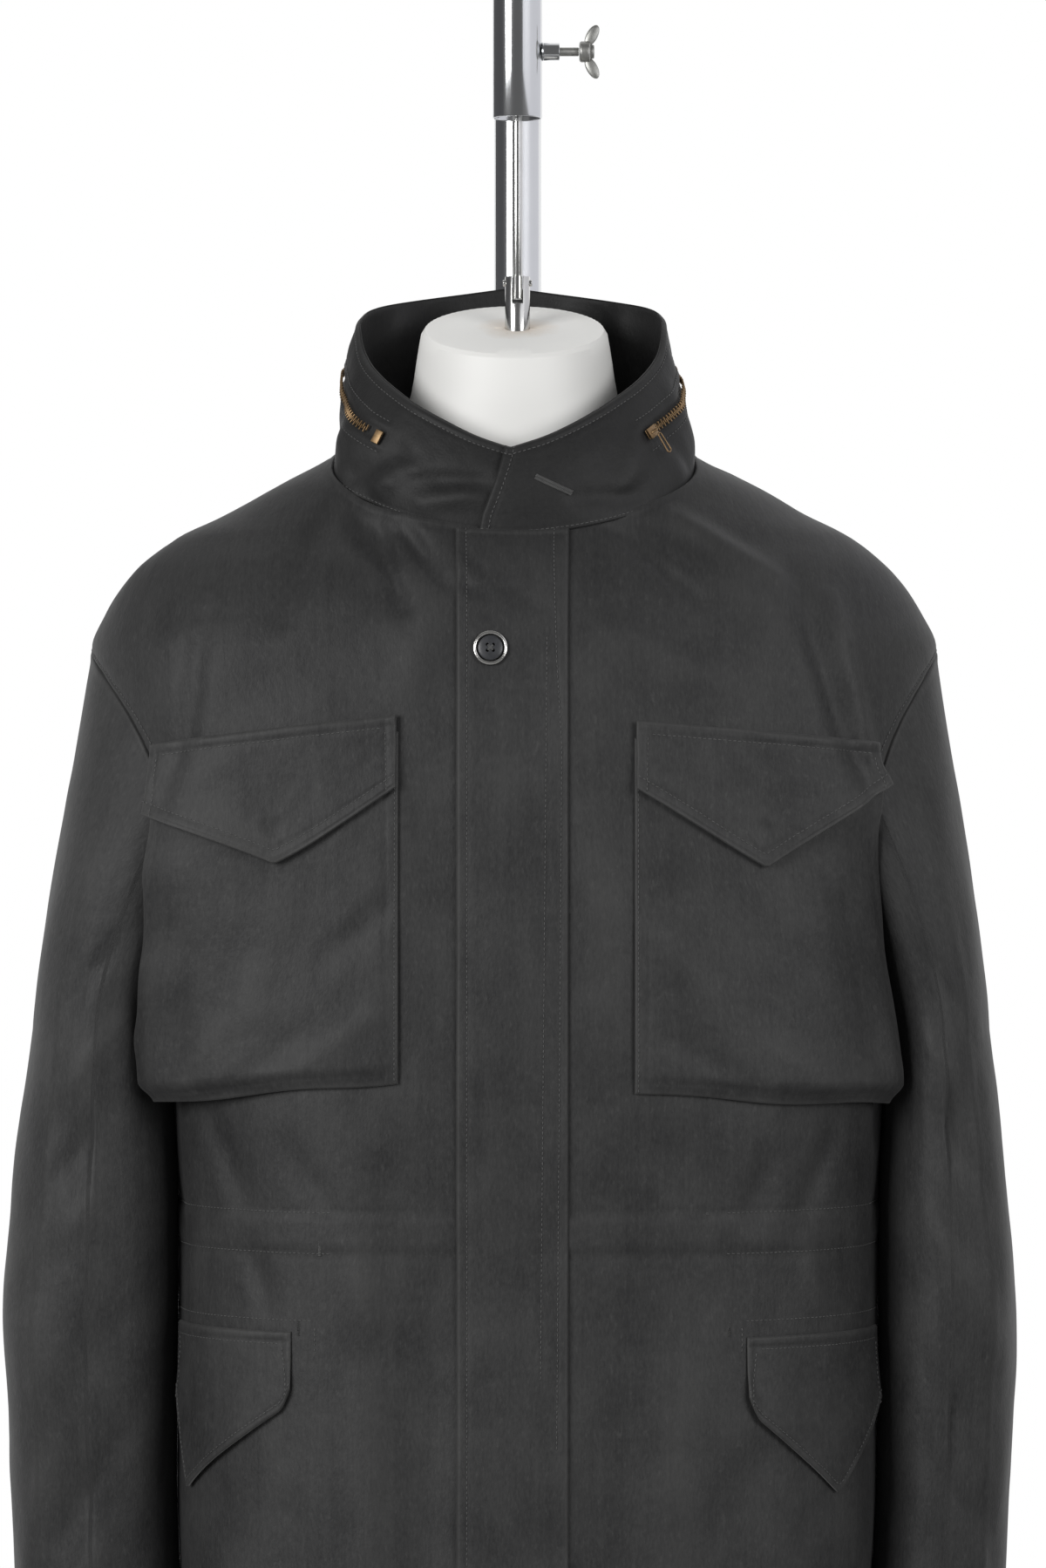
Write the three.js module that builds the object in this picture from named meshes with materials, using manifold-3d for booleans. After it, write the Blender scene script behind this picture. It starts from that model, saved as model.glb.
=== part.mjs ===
// A field jacket on a limbless display torso, hung from a cane-shaped floor stand.
// Millimetres, +Z up, the jacket's front faces -Y, and the origin is the middle of the base's underside.
// "Left" and "right" are as a person facing the jacket sees them, so right is +X.
import * as THREE from "three";
import { mergeVertices } from "three/addons/utils/BufferGeometryUtils.js";
import Module from "manifold-3d";

const wasm = await Module();
wasm.setup();

// Cloth and sewing
const SEAM = 0.3;
const LAID_ON = 0.8;
const CLOTH = 1.8;
const FLY_CLOTH = 2.4;
const COLLAR_CLOTH = 3.0;

// Heights of the jacket's cut
const HEM_Z = 640;
const UNDERARM_Z = 1100;
const SHOULDER_Z = 1293;
const NECK_FRONT_Z = 1366;
const NECK_SIDE_Z = 1418;
const NECK_BACK_Z = 1445;
const ARMHOLE_REACH = 86;

// Horizontal sections of the jacket's body: half width, depth in front and behind, sideways shift
const bodySections = [
  { z: 640, half: 212, front: 133, back: 123, shift: 7, power: 2.6 },
  { z: 780, half: 219, front: 135, back: 125, shift: 8, power: 2.6 },
  { z: 935, half: 219, front: 131, back: 121, shift: 9, power: 2.6 },
  { z: 1020, half: 222, front: 135, back: 125, shift: 9, power: 2.6 },
  { z: 1100, half: 222, front: 137, back: 127, shift: 9, power: 2.6 },
  { z: 1205, half: 250, front: 136, back: 127, shift: 4, power: 2.6 },
  { z: 1265, half: 263, front: 131, back: 124, shift: 1, power: 2.6 },
  { z: 1293, half: 266, front: 127, back: 121, shift: 0, power: 2.5 },
  { z: 1315, half: 257, front: 122, back: 117, shift: 0, power: 2.4 },
  { z: 1341, half: 239, front: 111, back: 110, shift: 0, power: 2.3 },
  { z: 1362, half: 214, front: 97, back: 103, shift: 0, power: 2.2 },
  { z: 1376, half: 186, front: 90, back: 98, shift: 0, power: 2.15 },
  { z: 1393, half: 156, front: 80, back: 91, shift: 0, power: 2.1 },
  { z: 1418, half: 110, front: 68, back: 82, shift: 0, power: 2.0 },
  { z: 1432, half: 98, front: 62, back: 79, shift: 0, power: 2.0 },
  { z: 1450, half: 84, front: 58, back: 77, shift: 0, power: 2.0 },
];

// The sleeve's silhouette: outermost reach at each height, before the sleeves' own shift
const sleeveSections = [
  { z: 685, outer: 310, depth: 56, drift: -3 },
  { z: 712, outer: 312, depth: 58, drift: -3 },
  { z: 793, outer: 315, depth: 64, drift: -4 },
  { z: 862, outer: 318, depth: 68, drift: -5 },
  { z: 951, outer: 313, depth: 72, drift: -4 },
  { z: 1054, outer: 301, depth: 77, drift: 0 },
];
const SLEEVE_LEFT = { side: -1, shift: -2.5 };
const SLEEVE_RIGHT = { side: 1, shift: -2.5 };
const SLEEVE_CLEAR = 1.8;
const SLEEVE_MEAN_RADIUS = 62;
const INNER_FOLD_SHARE = 0.15;
const SLEEVE_SPREAD = 0.12;
const SLEEVE_SPREAD_AT_SEAM = 0.34;
const SLEEVE_ARRIVE_LEAN = 0.04;
const SLEEVE_ARRIVE_SHARE = 0.9;
const SLEEVE_RING_POINTS = 24;
const SLEEVE_BLEND_RINGS = 6;
const SLEEVE_BLEND_Z = 1054;
const SLEEVE_POWER = 2.2;

// The largest folds: soft troughs (negative) and ridges on the body, by arc share and height
const bodyFolds = [
  { fromTurn: -0.44, fromZ: 1386, toTurn: -0.24, toZ: 1335, width: 24, height: -5 },
  { fromTurn: 0.56, fromZ: 1300, toTurn: 0.68, toZ: 1130, width: 40, height: 4 },
  { fromTurn: -0.6, fromZ: 1300, toTurn: -0.68, toZ: 1140, width: 40, height: 4 },
  { fromTurn: -0.45, fromZ: 985, toTurn: -0.4, toZ: 660, width: 46, height: 3.5 },
  { fromTurn: 0.38, fromZ: 985, toTurn: 0.45, toZ: 660, width: 44, height: 3.5 },
  { fromTurn: -0.2, fromZ: 900, toTurn: -0.22, toZ: 650, width: 42, height: -3 },
  { fromTurn: 1.35, fromZ: 1270, toTurn: 1.3, toZ: 1010, width: 42, height: -5 },
  { fromTurn: -1.35, fromZ: 1260, toTurn: -1.28, toZ: 1020, width: 42, height: -5 },
  { fromTurn: 1.62, fromZ: 900, toTurn: 1.56, toZ: 660, width: 42, height: 5 },
  { fromTurn: -1.66, fromZ: 910, toTurn: -1.6, toZ: 660, width: 42, height: 5 },
  { fromTurn: 1.1, fromZ: 1035, toTurn: 1.1, toZ: 640, width: 20, height: 5 },
  { fromTurn: -1.1, fromZ: 1035, toTurn: -1.1, toZ: 640, width: 20, height: 5 },
];

// The collar: height of its rim from the front middle (0 degrees) round to the back (180)
const collarRim = [
  { angle: 0, z: 1415 },
  { angle: 12, z: 1422 },
  { angle: 27, z: 1434 },
  { angle: 43, z: 1448 },
  { angle: 58, z: 1462 },
  { angle: 72, z: 1476 },
  { angle: 90, z: 1497 },
  { angle: 110, z: 1509 },
  { angle: 140, z: 1518 },
  { angle: 180, z: 1528 },
];
const COLLAR_RIM_HALF = 98;
const COLLAR_RIM_FRONT = 89;
const COLLAR_RIM_BACK = 78;
const COLLAR_RIM_SHIFT = -2;
const COLLAR_BULGE = 3;
const COLLAR_UNDER_END = 11;
const COLLAR_OVER_END_TOP = 2;
const COLLAR_OVER_END_BASE = 8;
const COLLAR_LAP = 4.2;
const COLLAR_LAP_FROM = 326;
const COLLAR_LAP_RUN = 30;
const COLLAR_COLUMNS = 50;
const COLLAR_ROWS = 5;

// The zip round the collar that closes over the rolled hood
const ZIP_SHARE = 0.58;
const ZIP_HALF_WIDTH = 3.2;
const ZIP_THICKNESS = 1.3;
const ZIP_STOP_ANGLE = -46;
const ZIP_SLIDER_ANGLE = 46;

// Fly front, one button on it
const FLY_LEFT_X = -35;
const FLY_RIGHT_X = 33;
const FLY_DROP = 3;
const BUTTON_X = -14.3;
const BUTTON_Z = 1290;
const BUTTON_RADIUS = 10.6;
const BUTTON_RIM = 1.6;

// The torso and the stand
const NECK_RADIUS = 65;
const CAP_RADIUS = 58.5;
const CAP_Z = 1496;
const CAP_TILT = 20;
const STAND_X = 2;
const TUBE_RADIUS = 15.6;
const TUBE_WALL = 1.5;
const COLUMN_Y = 175;
const HANG_TUBE_END_Z = 1628;
const BEND_Z = 1736;
const BASE_THICKNESS = 8;
const BASE_WIDTH = 440;
const BASE_DEPTH = 470;
const BASE_CENTRE_Y = 10;
const ROD_RADIUS = 3.1;
const SOCKET_RADIUS = 7.9;
const SOCKET_TOP_Z = 1528;
const SLOT_FLOOR_Z = 1511;
const SCREW_Z = 1670;
const SCREW_RADIUS = 2.75;
const BOSS_RADIUS = 5.5;
const TUBE_SIDES = 20;

const mix = (a, b, t) => a + (b - a) * t;
const clamp01 = (t) => Math.min(1, Math.max(0, t));
const smooth = (t) => clamp01(t) ** 2 * (3 - 2 * clamp01(t));
const radians = THREE.MathUtils.degToRad;

/** A curve through one column of a table, with no overshoot between its rows. */
function through(rows, key, column) {
  const at = rows.map((row) => row[key]);
  const value = rows.map((row) => row[column]);
  const slope = at.slice(1).map((x, i) => (value[i + 1] - value[i]) / (x - at[i]));
  const tangent = at.map((_, i) => {
    const before = slope[Math.max(i - 1, 0)];
    const after = slope[Math.min(i, slope.length - 1)];
    return before * after <= 0 ? 0 : (2 * before * after) / (before + after);
  });
  return (x) => {
    let i = 0;
    while (i < at.length - 2 && x > at[i + 1]) i += 1;
    const span = at[i + 1] - at[i];
    const t = clamp01((x - at[i]) / span);
    const rise = t * t * (3 - 2 * t);
    const lift = t * (1 - t) * ((1 - t) * tangent[i] - t * tangent[i + 1]);
    return mix(value[i], value[i + 1], rise) + span * lift;
  };
}

const bodyHalf = through(bodySections, "z", "half");
const bodyFront = through(bodySections, "z", "front");
const bodyBack = through(bodySections, "z", "back");
const bodyShift = through(bodySections, "z", "shift");
const bodyPower = through(bodySections, "z", "power");

/** Distance from the axis to a rounded-rectangle section, at an angle from its centre line. */
function sectionRadius(angle, half, depth, power) {
  const sum = Math.abs(Math.sin(angle) / half) ** power + Math.abs(Math.cos(angle) / depth) ** power;
  return sum ** (-1 / power);
}

const ARC_STEPS = 36;
const quarterArcs = new Map();

/** Running arc length along a quarter of the body's section, from its centre line to its side. */
function quarterArc(z, back) {
  const key = `${z.toFixed(3)} ${back}`;
  if (!quarterArcs.has(key)) {
    const depth = back ? bodyBack(z) : bodyFront(z);
    const arc = [0];
    let last = null;
    for (let i = 0; i <= ARC_STEPS; i += 1) {
      const angle = (i / ARC_STEPS) * (Math.PI / 2);
      const radius = sectionRadius(angle, bodyHalf(z), depth, bodyPower(z));
      const point = [radius * Math.sin(angle), radius * Math.cos(angle)];
      if (last) arc.push(arc[i - 1] + Math.hypot(point[0] - last[0], point[1] - last[1]));
      last = point;
    }
    quarterArcs.set(key, arc);
  }
  return quarterArcs.get(key);
}

/** A point of the jacket's bare body: turn 0 is the front middle, 1 and -1 the sides, 2 the back. */
function bareBody(turn, z) {
  const wrapped = turn > 2 ? turn - 4 : turn < -2 ? turn + 4 : turn;
  const side = wrapped < 0 ? -1 : 1;
  const back = Math.abs(wrapped) > 1;
  const share = back ? 2 - Math.abs(wrapped) : Math.abs(wrapped);
  const arc = quarterArc(z, back);
  const goal = share * arc[ARC_STEPS];
  let i = 0;
  while (i < ARC_STEPS - 1 && arc[i + 1] < goal) i += 1;
  const angle = ((i + (goal - arc[i]) / (arc[i + 1] - arc[i])) / ARC_STEPS) * (Math.PI / 2);
  const radius = sectionRadius(angle, bodyHalf(z), back ? bodyBack(z) : bodyFront(z), bodyPower(z));
  const y = (back ? 1 : -1) * radius * Math.cos(angle);
  return new THREE.Vector3(bodyShift(z) + side * radius * Math.sin(angle), y, z);
}

/** How far the folds lift the cloth at a place on the body. */
function foldHeight(turn, z) {
  const arcOf = (t) => t * quarterArc(z, Math.abs(t) > 1)[ARC_STEPS];
  let height = 0;
  for (const fold of bodyFolds) {
    const run = clamp01((z - fold.fromZ) / (fold.toZ - fold.fromZ));
    const across = arcOf(turn) - arcOf(mix(fold.fromTurn, fold.toTurn, run));
    const past = z - mix(fold.fromZ, fold.toZ, run);
    const far = Math.hypot(across, past) / fold.width;
    height += fold.height * Math.exp(-far * far);
  }
  return height;
}

/** A point of the jacket's outer cloth, moved out along its normal. */
function bodyPoint(turn, z, out = 0) {
  const step = 0.02;
  const rise = 4;
  const across = bareBody(turn + step, z).sub(bareBody(turn - step, z));
  const up = bareBody(turn, z + rise).sub(bareBody(turn, z - rise));
  const normal = across.cross(up).normalize();
  return bareBody(turn, z).addScaledVector(normal, foldHeight(turn, z) + out);
}

/** The turn at which the front or back section has a certain x or y. */
function turnWhere(test, low, high) {
  let from = low;
  let to = high;
  for (let i = 0; i < 30; i += 1) {
    const middle = (from + to) / 2;
    if (test(middle)) from = middle;
    else to = middle;
  }
  return from;
}
const turnAtX = (x, z) => turnWhere((turn) => bareBody(turn, z).x < x, -0.999, 0.999);

/** How far round a panel reaches before its side seam or armhole. */
function panelReach(z, back) {
  const middle = (SHOULDER_Z + UNDERARM_Z) / 2;
  const share = (z - middle) / ((SHOULDER_Z - UNDERARM_Z) / 2);
  if (Math.abs(share) >= 1) return 1;
  const reach = ARMHOLE_REACH * Math.sqrt(1 - share * share);
  return turnWhere((s) => Math.abs(bareBody(back ? 2 - s : s, z).y) > reach || s < 0.2, 0, 1);
}

/** Height of the neckline at a turn. */
function necklineZ(turn) {
  const share = Math.min(2, Math.abs(turn));
  if (share > 1) return mix(NECK_SIDE_Z, NECK_BACK_Z, 1 - (2 - share) ** 2);
  return mix(NECK_FRONT_Z, NECK_SIDE_Z, 1 - (1 - share ** 1.6) ** 1.5);
}

/** Turns grids of points into one closed wall: outer and inner faces joined round their edges. */
function wall(outer, inner, looped = false) {
  const rows = outer.length;
  const columns = outer[0].length;
  const points = [...outer.flat(), ...inner.flat()];
  const at = (layer, row, column) => layer * rows * columns + row * columns + (column % columns);
  const triangles = [];
  const quad = (a, b, c, d) => triangles.push(a, b, c, a, c, d);
  const lastColumn = looped ? columns : columns - 1;
  for (let r = 0; r < rows - 1; r += 1) {
    for (let c = 0; c < lastColumn; c += 1) {
      quad(at(0, r, c), at(0, r, c + 1), at(0, r + 1, c + 1), at(0, r + 1, c));
      quad(at(1, r, c), at(1, r + 1, c), at(1, r + 1, c + 1), at(1, r, c + 1));
    }
    if (!looped) {
      quad(at(1, r, 0), at(0, r, 0), at(0, r + 1, 0), at(1, r + 1, 0));
      quad(at(0, r, columns - 1), at(1, r, columns - 1), at(1, r + 1, columns - 1), at(0, r + 1, columns - 1));
    }
  }
  for (let c = 0; c < lastColumn; c += 1) {
    quad(at(1, 0, c), at(1, 0, c + 1), at(0, 0, c + 1), at(0, 0, c));
    quad(at(0, rows - 1, c), at(0, rows - 1, c + 1), at(1, rows - 1, c + 1), at(1, rows - 1, c));
  }
  return closed(points, triangles);
}

/** A geometry from points and triangles, its faces turned to point out. */
function closed(points, triangles) {
  let volume = 0;
  for (let i = 0; i < triangles.length; i += 3) {
    const [a, b, c] = [0, 1, 2].map((k) => points[triangles[i + k]]);
    volume += a.dot(new THREE.Vector3().crossVectors(b, c));
  }
  const order = volume < 0 ? triangles.slice().reverse() : triangles;
  const geometry = new THREE.BufferGeometry().setFromPoints(points);
  geometry.setIndex(order);
  geometry.computeVertexNormals();
  return geometry;
}

const gridOf = (rows, columns, place) =>
  rows.map((row, r) => columns.map((column, c) => place(column, row, c, r)));
const steps = (count, from = 0, to = 1) =>
  Array.from({ length: count + 1 }, (_, i) => mix(from, to, i / count));

/** A wall of cloth whose inner face lies `out` off the body. */
function clothOn(place, columns, rows, out, thickness, flare = () => 0) {
  const layer = (extra) =>
    gridOf(steps(rows), steps(columns), (u, v) => {
      const [turn, z] = place(u, v);
      const point = bodyPoint(turn, z, out(u, v, z) + extra);
      point.x += flare(u, z);
      return point;
    });
  return wall(layer(thickness), layer(0));
}

/** Height of a point of the armhole's loop, by its angle: a quarter turn is the top. */
const armholeZ = (around) => mix(UNDERARM_Z, SHOULDER_Z, (1 + Math.sin(around)) / 2);

// Heights of the rows of a body panel: beside the armhole they meet the sleeve's points
const panelRows = [
  ...steps(14, HEM_Z, UNDERARM_Z - 25),
  ...steps(SLEEVE_RING_POINTS / 2, -Math.PI / 2, Math.PI / 2).map(armholeZ),
].map((z) => ({ z, neck: 0 }));
const NECK_ROWS = 5;
steps(NECK_ROWS).slice(1).forEach((neck) => panelRows.push({ z: SHOULDER_Z, neck }));

/** Height of a panel's row at a turn: level up to the shoulder, then fanned up to the neckline. */
const rowHeight = (row, turn) => mix(row.z, necklineZ(turn) - SEAM / 2, row.neck);

/** The share of a row at which the panel ends, a little inside the side seam or armhole. */
function rowEnd(row, back) {
  const z = rowHeight(row, back ? 1.02 : 0.98);
  const reach = row.neck > 0 ? 1 : panelReach(z, back);
  return reach - SEAM / 2 / quarterArc(z, back)[ARC_STEPS];
}

function frontPanel(side) {
  const columns = 11;
  const gapShare = (z) => SEAM / 2 / quarterArc(z, false)[ARC_STEPS];
  const layer = (out) =>
    gridOf(panelRows, steps(columns), (u, row) => {
      const turn = mix(gapShare(row.z), rowEnd(row, false), u);
      return bodyPoint(side * turn, rowHeight(row, turn), out);
    });
  return wall(layer(0), layer(-CLOTH));
}

function backPanel() {
  const layer = (out) =>
    gridOf(panelRows, steps(20, -1, 1), (u, row) => {
      const turn = 2 - Math.abs(u) * rowEnd(row, true);
      return bodyPoint(u < 0 ? -turn : turn, rowHeight(row, turn), out);
    });
  return wall(layer(0), layer(-CLOTH));
}

// Sleeves: the armhole's loop, blended down into level rings that end at the cuff
const sleeveOuter = through(sleeveSections, "z", "outer");
const sleeveDepth = through(sleeveSections, "z", "depth");
const sleeveDrift = through(sleeveSections, "z", "drift");

/** A point of the armhole's loop: 0 is its front, a quarter turn its top, half a turn its back. */
function armholePoint(side, turnRound, out = 0) {
  const z = armholeZ(turnRound);
  const back = Math.cos(turnRound) < 0;
  const reach = panelReach(z, back);
  const clear = SEAM / 2 / quarterArc(z, back)[ARC_STEPS];
  const turn = back ? 2 - (reach + clear) : reach + clear;
  return bodyPoint(side * turn, z, out);
}

const sleeveFolds = [
  { side: -1, z: 985, around: 0.15, width: 46, height: -6 },
  { side: -1, z: 760, around: -0.35, width: 60, height: -7 },
  { side: -1, z: 870, around: 0.9, width: 50, height: 3 },
  { side: 1, z: 1000, around: 0.05, width: 48, height: -6 },
  { side: 1, z: 900, around: 0.75, width: 52, height: 3 },
  { side: 1, z: 800, around: -0.25, width: 55, height: -5 },
  { side: -1, z: 980, around: 3.0, width: 52, height: -6 },
  { side: 1, z: 960, around: 3.2, width: 52, height: -6 },
];

/** How far a sleeve's folds lift it, by angle round the sleeve and height. */
function sleeveFoldHeight(side, around, z) {
  let height = 0;
  for (const fold of sleeveFolds.filter((f) => f.side === side)) {
    const turned = around - fold.around;
    const across = Math.atan2(Math.sin(turned), Math.cos(turned)) * SLEEVE_MEAN_RADIUS;
    const far = Math.hypot(across, z - fold.z - across * 0.5) / fold.width;
    height += fold.height * Math.exp(-far * far * 2);
  }
  return height;
}

/** A point of a sleeve's level ring. */
function sleeveRingPoint(sleeve, around, z) {
  const outer = sleeveOuter(z) + sleeve.side * sleeve.shift;
  const inner = bodyHalf(z) + sleeve.side * bodyShift(z) + SLEEVE_CLEAR;
  const centre = (outer + inner) / 2;
  const half = (outer - inner) / 2;
  const s = Math.sin(around);
  const c = Math.cos(around);
  const radius = (Math.abs(s) ** SLEEVE_POWER + Math.abs(c) ** SLEEVE_POWER) ** (-1 / SLEEVE_POWER);
  const inward = s < 0 ? INNER_FOLD_SHARE : 1;
  const lift = sleeveFoldHeight(sleeve.side, around, z) * inward;
  const x = centre + radius * s * half + lift * s;
  const y = sleeveDrift(z) - radius * c * sleeveDepth(z) - lift * c;
  return new THREE.Vector3(sleeve.side * x, y, z);
}

/** A point on the blend between the armhole and the first level ring. */
function sleeveBlendPoint(sleeve, around, t) {
  const start = armholePoint(sleeve.side, around);
  const end = sleeveRingPoint(sleeve, around, SLEEVE_BLEND_Z);
  const length = start.distanceTo(end);
  const spread = SLEEVE_SPREAD + SLEEVE_SPREAD_AT_SEAM * Math.cos(around) ** 2;
  const leave = new THREE.Vector3(sleeve.side * spread, 0, -1).normalize().multiplyScalar(length);
  const arrive = new THREE.Vector3(sleeve.side * SLEEVE_ARRIVE_LEAN, 0, -1)
    .multiplyScalar(length * SLEEVE_ARRIVE_SHARE);
  const t2 = t * t;
  const t3 = t2 * t;
  return start.multiplyScalar(2 * t3 - 3 * t2 + 1)
    .addScaledVector(leave, t3 - 2 * t2 + t)
    .addScaledVector(end, 3 * t2 - 2 * t3)
    .addScaledVector(arrive, t3 - t2);
}

/** Moves the points of looped rings inwards along their own normals. */
function insideOf(rings, thickness) {
  const columns = rings[0].length;
  return rings.map((ring, r) =>
    ring.map((point, c) => {
      const above = rings[Math.max(r - 1, 0)][c];
      const below = rings[Math.min(r + 1, rings.length - 1)][c];
      const before = ring[(c + columns - 1) % columns];
      const after = ring[(c + 1) % columns];
      const normal = after.clone().sub(before).cross(below.clone().sub(above)).normalize();
      const centre = ring.reduce((sum, p) => sum.add(p), new THREE.Vector3()).divideScalar(columns);
      if (normal.dot(point.clone().sub(centre)) < 0) normal.negate();
      return point.clone().addScaledVector(normal, -thickness);
    }));
}

function sleeve(which) {
  const around = steps(SLEEVE_RING_POINTS, 0, 2 * Math.PI).slice(0, -1);
  const blend = steps(SLEEVE_BLEND_RINGS).slice(0, -1);
  const levels = steps(6, SLEEVE_BLEND_Z, sleeveSections[0].z);
  const rings = [
    ...blend.map((t) => around.map((a) => sleeveBlendPoint(which, a, t))),
    ...levels.map((z) => around.map((a) => sleeveRingPoint(which, a, z))),
  ];
  const inside = insideOf(rings, CLOTH);
  inside[0] = around.map((a) => armholePoint(which.side, a, -CLOTH));
  return wall(rings, inside, true);
}

// Collar
const rimHeight = through(collarRim, "angle", "z");

/** A point of the collar: angle from the front middle in degrees, share of its height, way out. */
function collarPoint(angle, share, out = 0) {
  const facing = ((((angle + 180) % 360) + 360) % 360) - 180;
  const turn = facing / 90;
  const base = bareBody(turn, necklineZ(turn));
  base.z += SEAM / 2;
  const a = radians(facing);
  const depth = Math.cos(a) > 0 ? COLLAR_RIM_FRONT : COLLAR_RIM_BACK;
  const rim = new THREE.Vector3(
    COLLAR_RIM_SHIFT + COLLAR_RIM_HALF * Math.sin(a), -depth * Math.cos(a), rimHeight(Math.abs(facing)));
  const outward = new THREE.Vector3(Math.sin(a), -Math.cos(a), 0);
  const bulge = COLLAR_BULGE * Math.sin(Math.PI * share);
  return base.lerp(rim, share).addScaledVector(outward, bulge + out);
}

/** The collar's band: it starts under the front lap, runs round the neck and ends over its start. */
function collar() {
  const travel = (u, v) => {
    const end = mix(COLLAR_OVER_END_BASE, COLLAR_OVER_END_TOP, v);
    return u * (360 + COLLAR_UNDER_END + end);
  };
  const layer = (out) =>
    gridOf(steps(COLLAR_ROWS), steps(COLLAR_COLUMNS), (u, v) => {
      const gone = travel(u, v);
      const lap = COLLAR_LAP * smooth((gone - COLLAR_LAP_FROM) / COLLAR_LAP_RUN);
      return collarPoint(COLLAR_UNDER_END - gone, v, lap + out);
    });
  return wall(layer(0), layer(-COLLAR_CLOTH));
}

/** The zip's closed chain, on the collar's outside. */
function collarZip() {
  const from = ZIP_STOP_ANGLE - 2;
  const to = ZIP_SLIDER_ANGLE - 360 + 4.5;
  const layer = (out) =>
    gridOf([-1, 1], steps(38, from, to), (angle, way) => {
      const height = collarPoint(angle, 1).z - collarPoint(angle, 0).z;
      return collarPoint(angle, ZIP_SHARE + (way * ZIP_HALF_WIDTH) / height, out);
    });
  return wall(layer(SEAM + ZIP_THICKNESS), layer(SEAM));
}

/** A frame on the collar: x along it, y up it, z out of it. */
function collarFrame(angle, share) {
  const along = collarPoint(angle + 1, share).sub(collarPoint(angle - 1, share)).normalize();
  const rise = collarPoint(angle, share + 0.05).sub(collarPoint(angle, share - 0.05)).normalize();
  const out = along.clone().cross(rise).normalize();
  const up = out.clone().cross(along);
  const frame = new THREE.Matrix4().makeBasis(along, up, out);
  frame.setPosition(collarPoint(angle, share));
  return frame;
}

/** A plate of a drawn outline, extruded from one distance out to another. */
function plate(outline, from, to, curveSegments = 6) {
  const geometry = new THREE.ExtrudeGeometry(outline, { depth: to - from, bevelEnabled: false, curveSegments });
  return geometry.translate(0, 0, from);
}

function roundedOutline(width, height, radius) {
  const shape = new THREE.Shape();
  const [x, y] = [width / 2, height / 2];
  shape.moveTo(-x + radius, -y);
  shape.lineTo(x - radius, -y);
  shape.absarc(x - radius, -y + radius, radius, -Math.PI / 2, 0);
  shape.lineTo(x, y - radius);
  shape.absarc(x - radius, y - radius, radius, 0, Math.PI / 2);
  shape.lineTo(-x + radius, y);
  shape.absarc(-x + radius, y - radius, radius, Math.PI / 2, Math.PI);
  shape.lineTo(-x, -y + radius);
  shape.absarc(-x + radius, -y + radius, radius, Math.PI, 1.5 * Math.PI);
  return shape;
}

const SLIDER = { width: 8, height: 11, thickness: 4 };
const PULL = { width: 4.2, length: 15, thickness: 1.2, above: 0.9 };
const STOP = { width: 6, height: 9, thickness: 2 };

const zipSlider = () =>
  plate(roundedOutline(SLIDER.width, SLIDER.height, 2.4), SEAM, SEAM + SLIDER.thickness)
    .applyMatrix4(collarFrame(ZIP_SLIDER_ANGLE, ZIP_SHARE));
const zipStop = () =>
  plate(roundedOutline(STOP.width, STOP.height, 1.2), SEAM, SEAM + STOP.thickness)
    .applyMatrix4(collarFrame(ZIP_STOP_ANGLE + 3, ZIP_SHARE - 0.03));

/** Where the pull tab turns: along the collar, in front of the slider's lower end. */
const PULL_PIVOT = new THREE.Vector3(0, -4.2, SEAM + SLIDER.thickness + 1.3);
const zipPull = () =>
  plate(roundedOutline(PULL.width, PULL.length, 0.8), -PULL.thickness / 2, PULL.thickness / 2, 3)
    .translate(0, PULL.above - PULL.length / 2, 0)
    .translate(PULL_PIVOT.x, PULL_PIVOT.y, PULL_PIVOT.z)
    .applyMatrix4(collarFrame(ZIP_SLIDER_ANGLE, ZIP_SHARE));

// Fly and button
function fly() {
  const layer = (out) =>
    gridOf(panelRows, steps(4, FLY_LEFT_X, FLY_RIGHT_X), (x, row) => {
      const z = rowHeight(row, turnAtX(x, rowHeight(row, 0)));
      return bodyPoint(turnAtX(x, z), z - FLY_DROP * row.neck, out);
    });
  return wall(layer(LAID_ON + FLY_CLOTH), layer(LAID_ON));
}

/** A frame on the body's front: x across, y up, z out. */
function frontFrame(x, z, out) {
  const turn = turnAtX(x, z);
  const centre = bodyPoint(turn, z, out);
  const across = bodyPoint(turn + 0.02, z, out).sub(bodyPoint(turn - 0.02, z, out)).normalize();
  const rise = bodyPoint(turn, z + 5, out).sub(bodyPoint(turn, z - 5, out)).normalize();
  const normal = across.clone().cross(rise).normalize();
  return new THREE.Matrix4().makeBasis(across, normal.clone().cross(across), normal).setPosition(centre);
}

const lathed = (profile, sides) =>
  new THREE.LatheGeometry(profile.map(([r, h]) => new THREE.Vector2(r, h)), sides);

const BUTTON_SEAT = LAID_ON + FLY_CLOTH + SEAM;
const buttonFrame = frontFrame(BUTTON_X, BUTTON_Z, BUTTON_SEAT);
function buttonRing() {
  const inner = BUTTON_RADIUS - 2 * BUTTON_RIM;
  const profile = [[inner, 0.4], [BUTTON_RADIUS - 0.6, 0.2], [BUTTON_RADIUS, 1.6],
    [BUTTON_RADIUS - BUTTON_RIM, 3.0], [inner, 2.2], [inner, 0.4]];
  return lathed(profile, 28).rotateX(Math.PI / 2).applyMatrix4(buttonFrame);
}
function buttonDisc() {
  const radius = BUTTON_RADIUS - 2 * BUTTON_RIM - SEAM;
  const profile = [[0, 0.4], [radius, 0.4], [radius, 1.8], [radius - 1.5, 1.6], [0, 1.2]];
  return lathed(profile, 24).rotateX(Math.PI / 2).applyMatrix4(buttonFrame);
}

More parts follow.
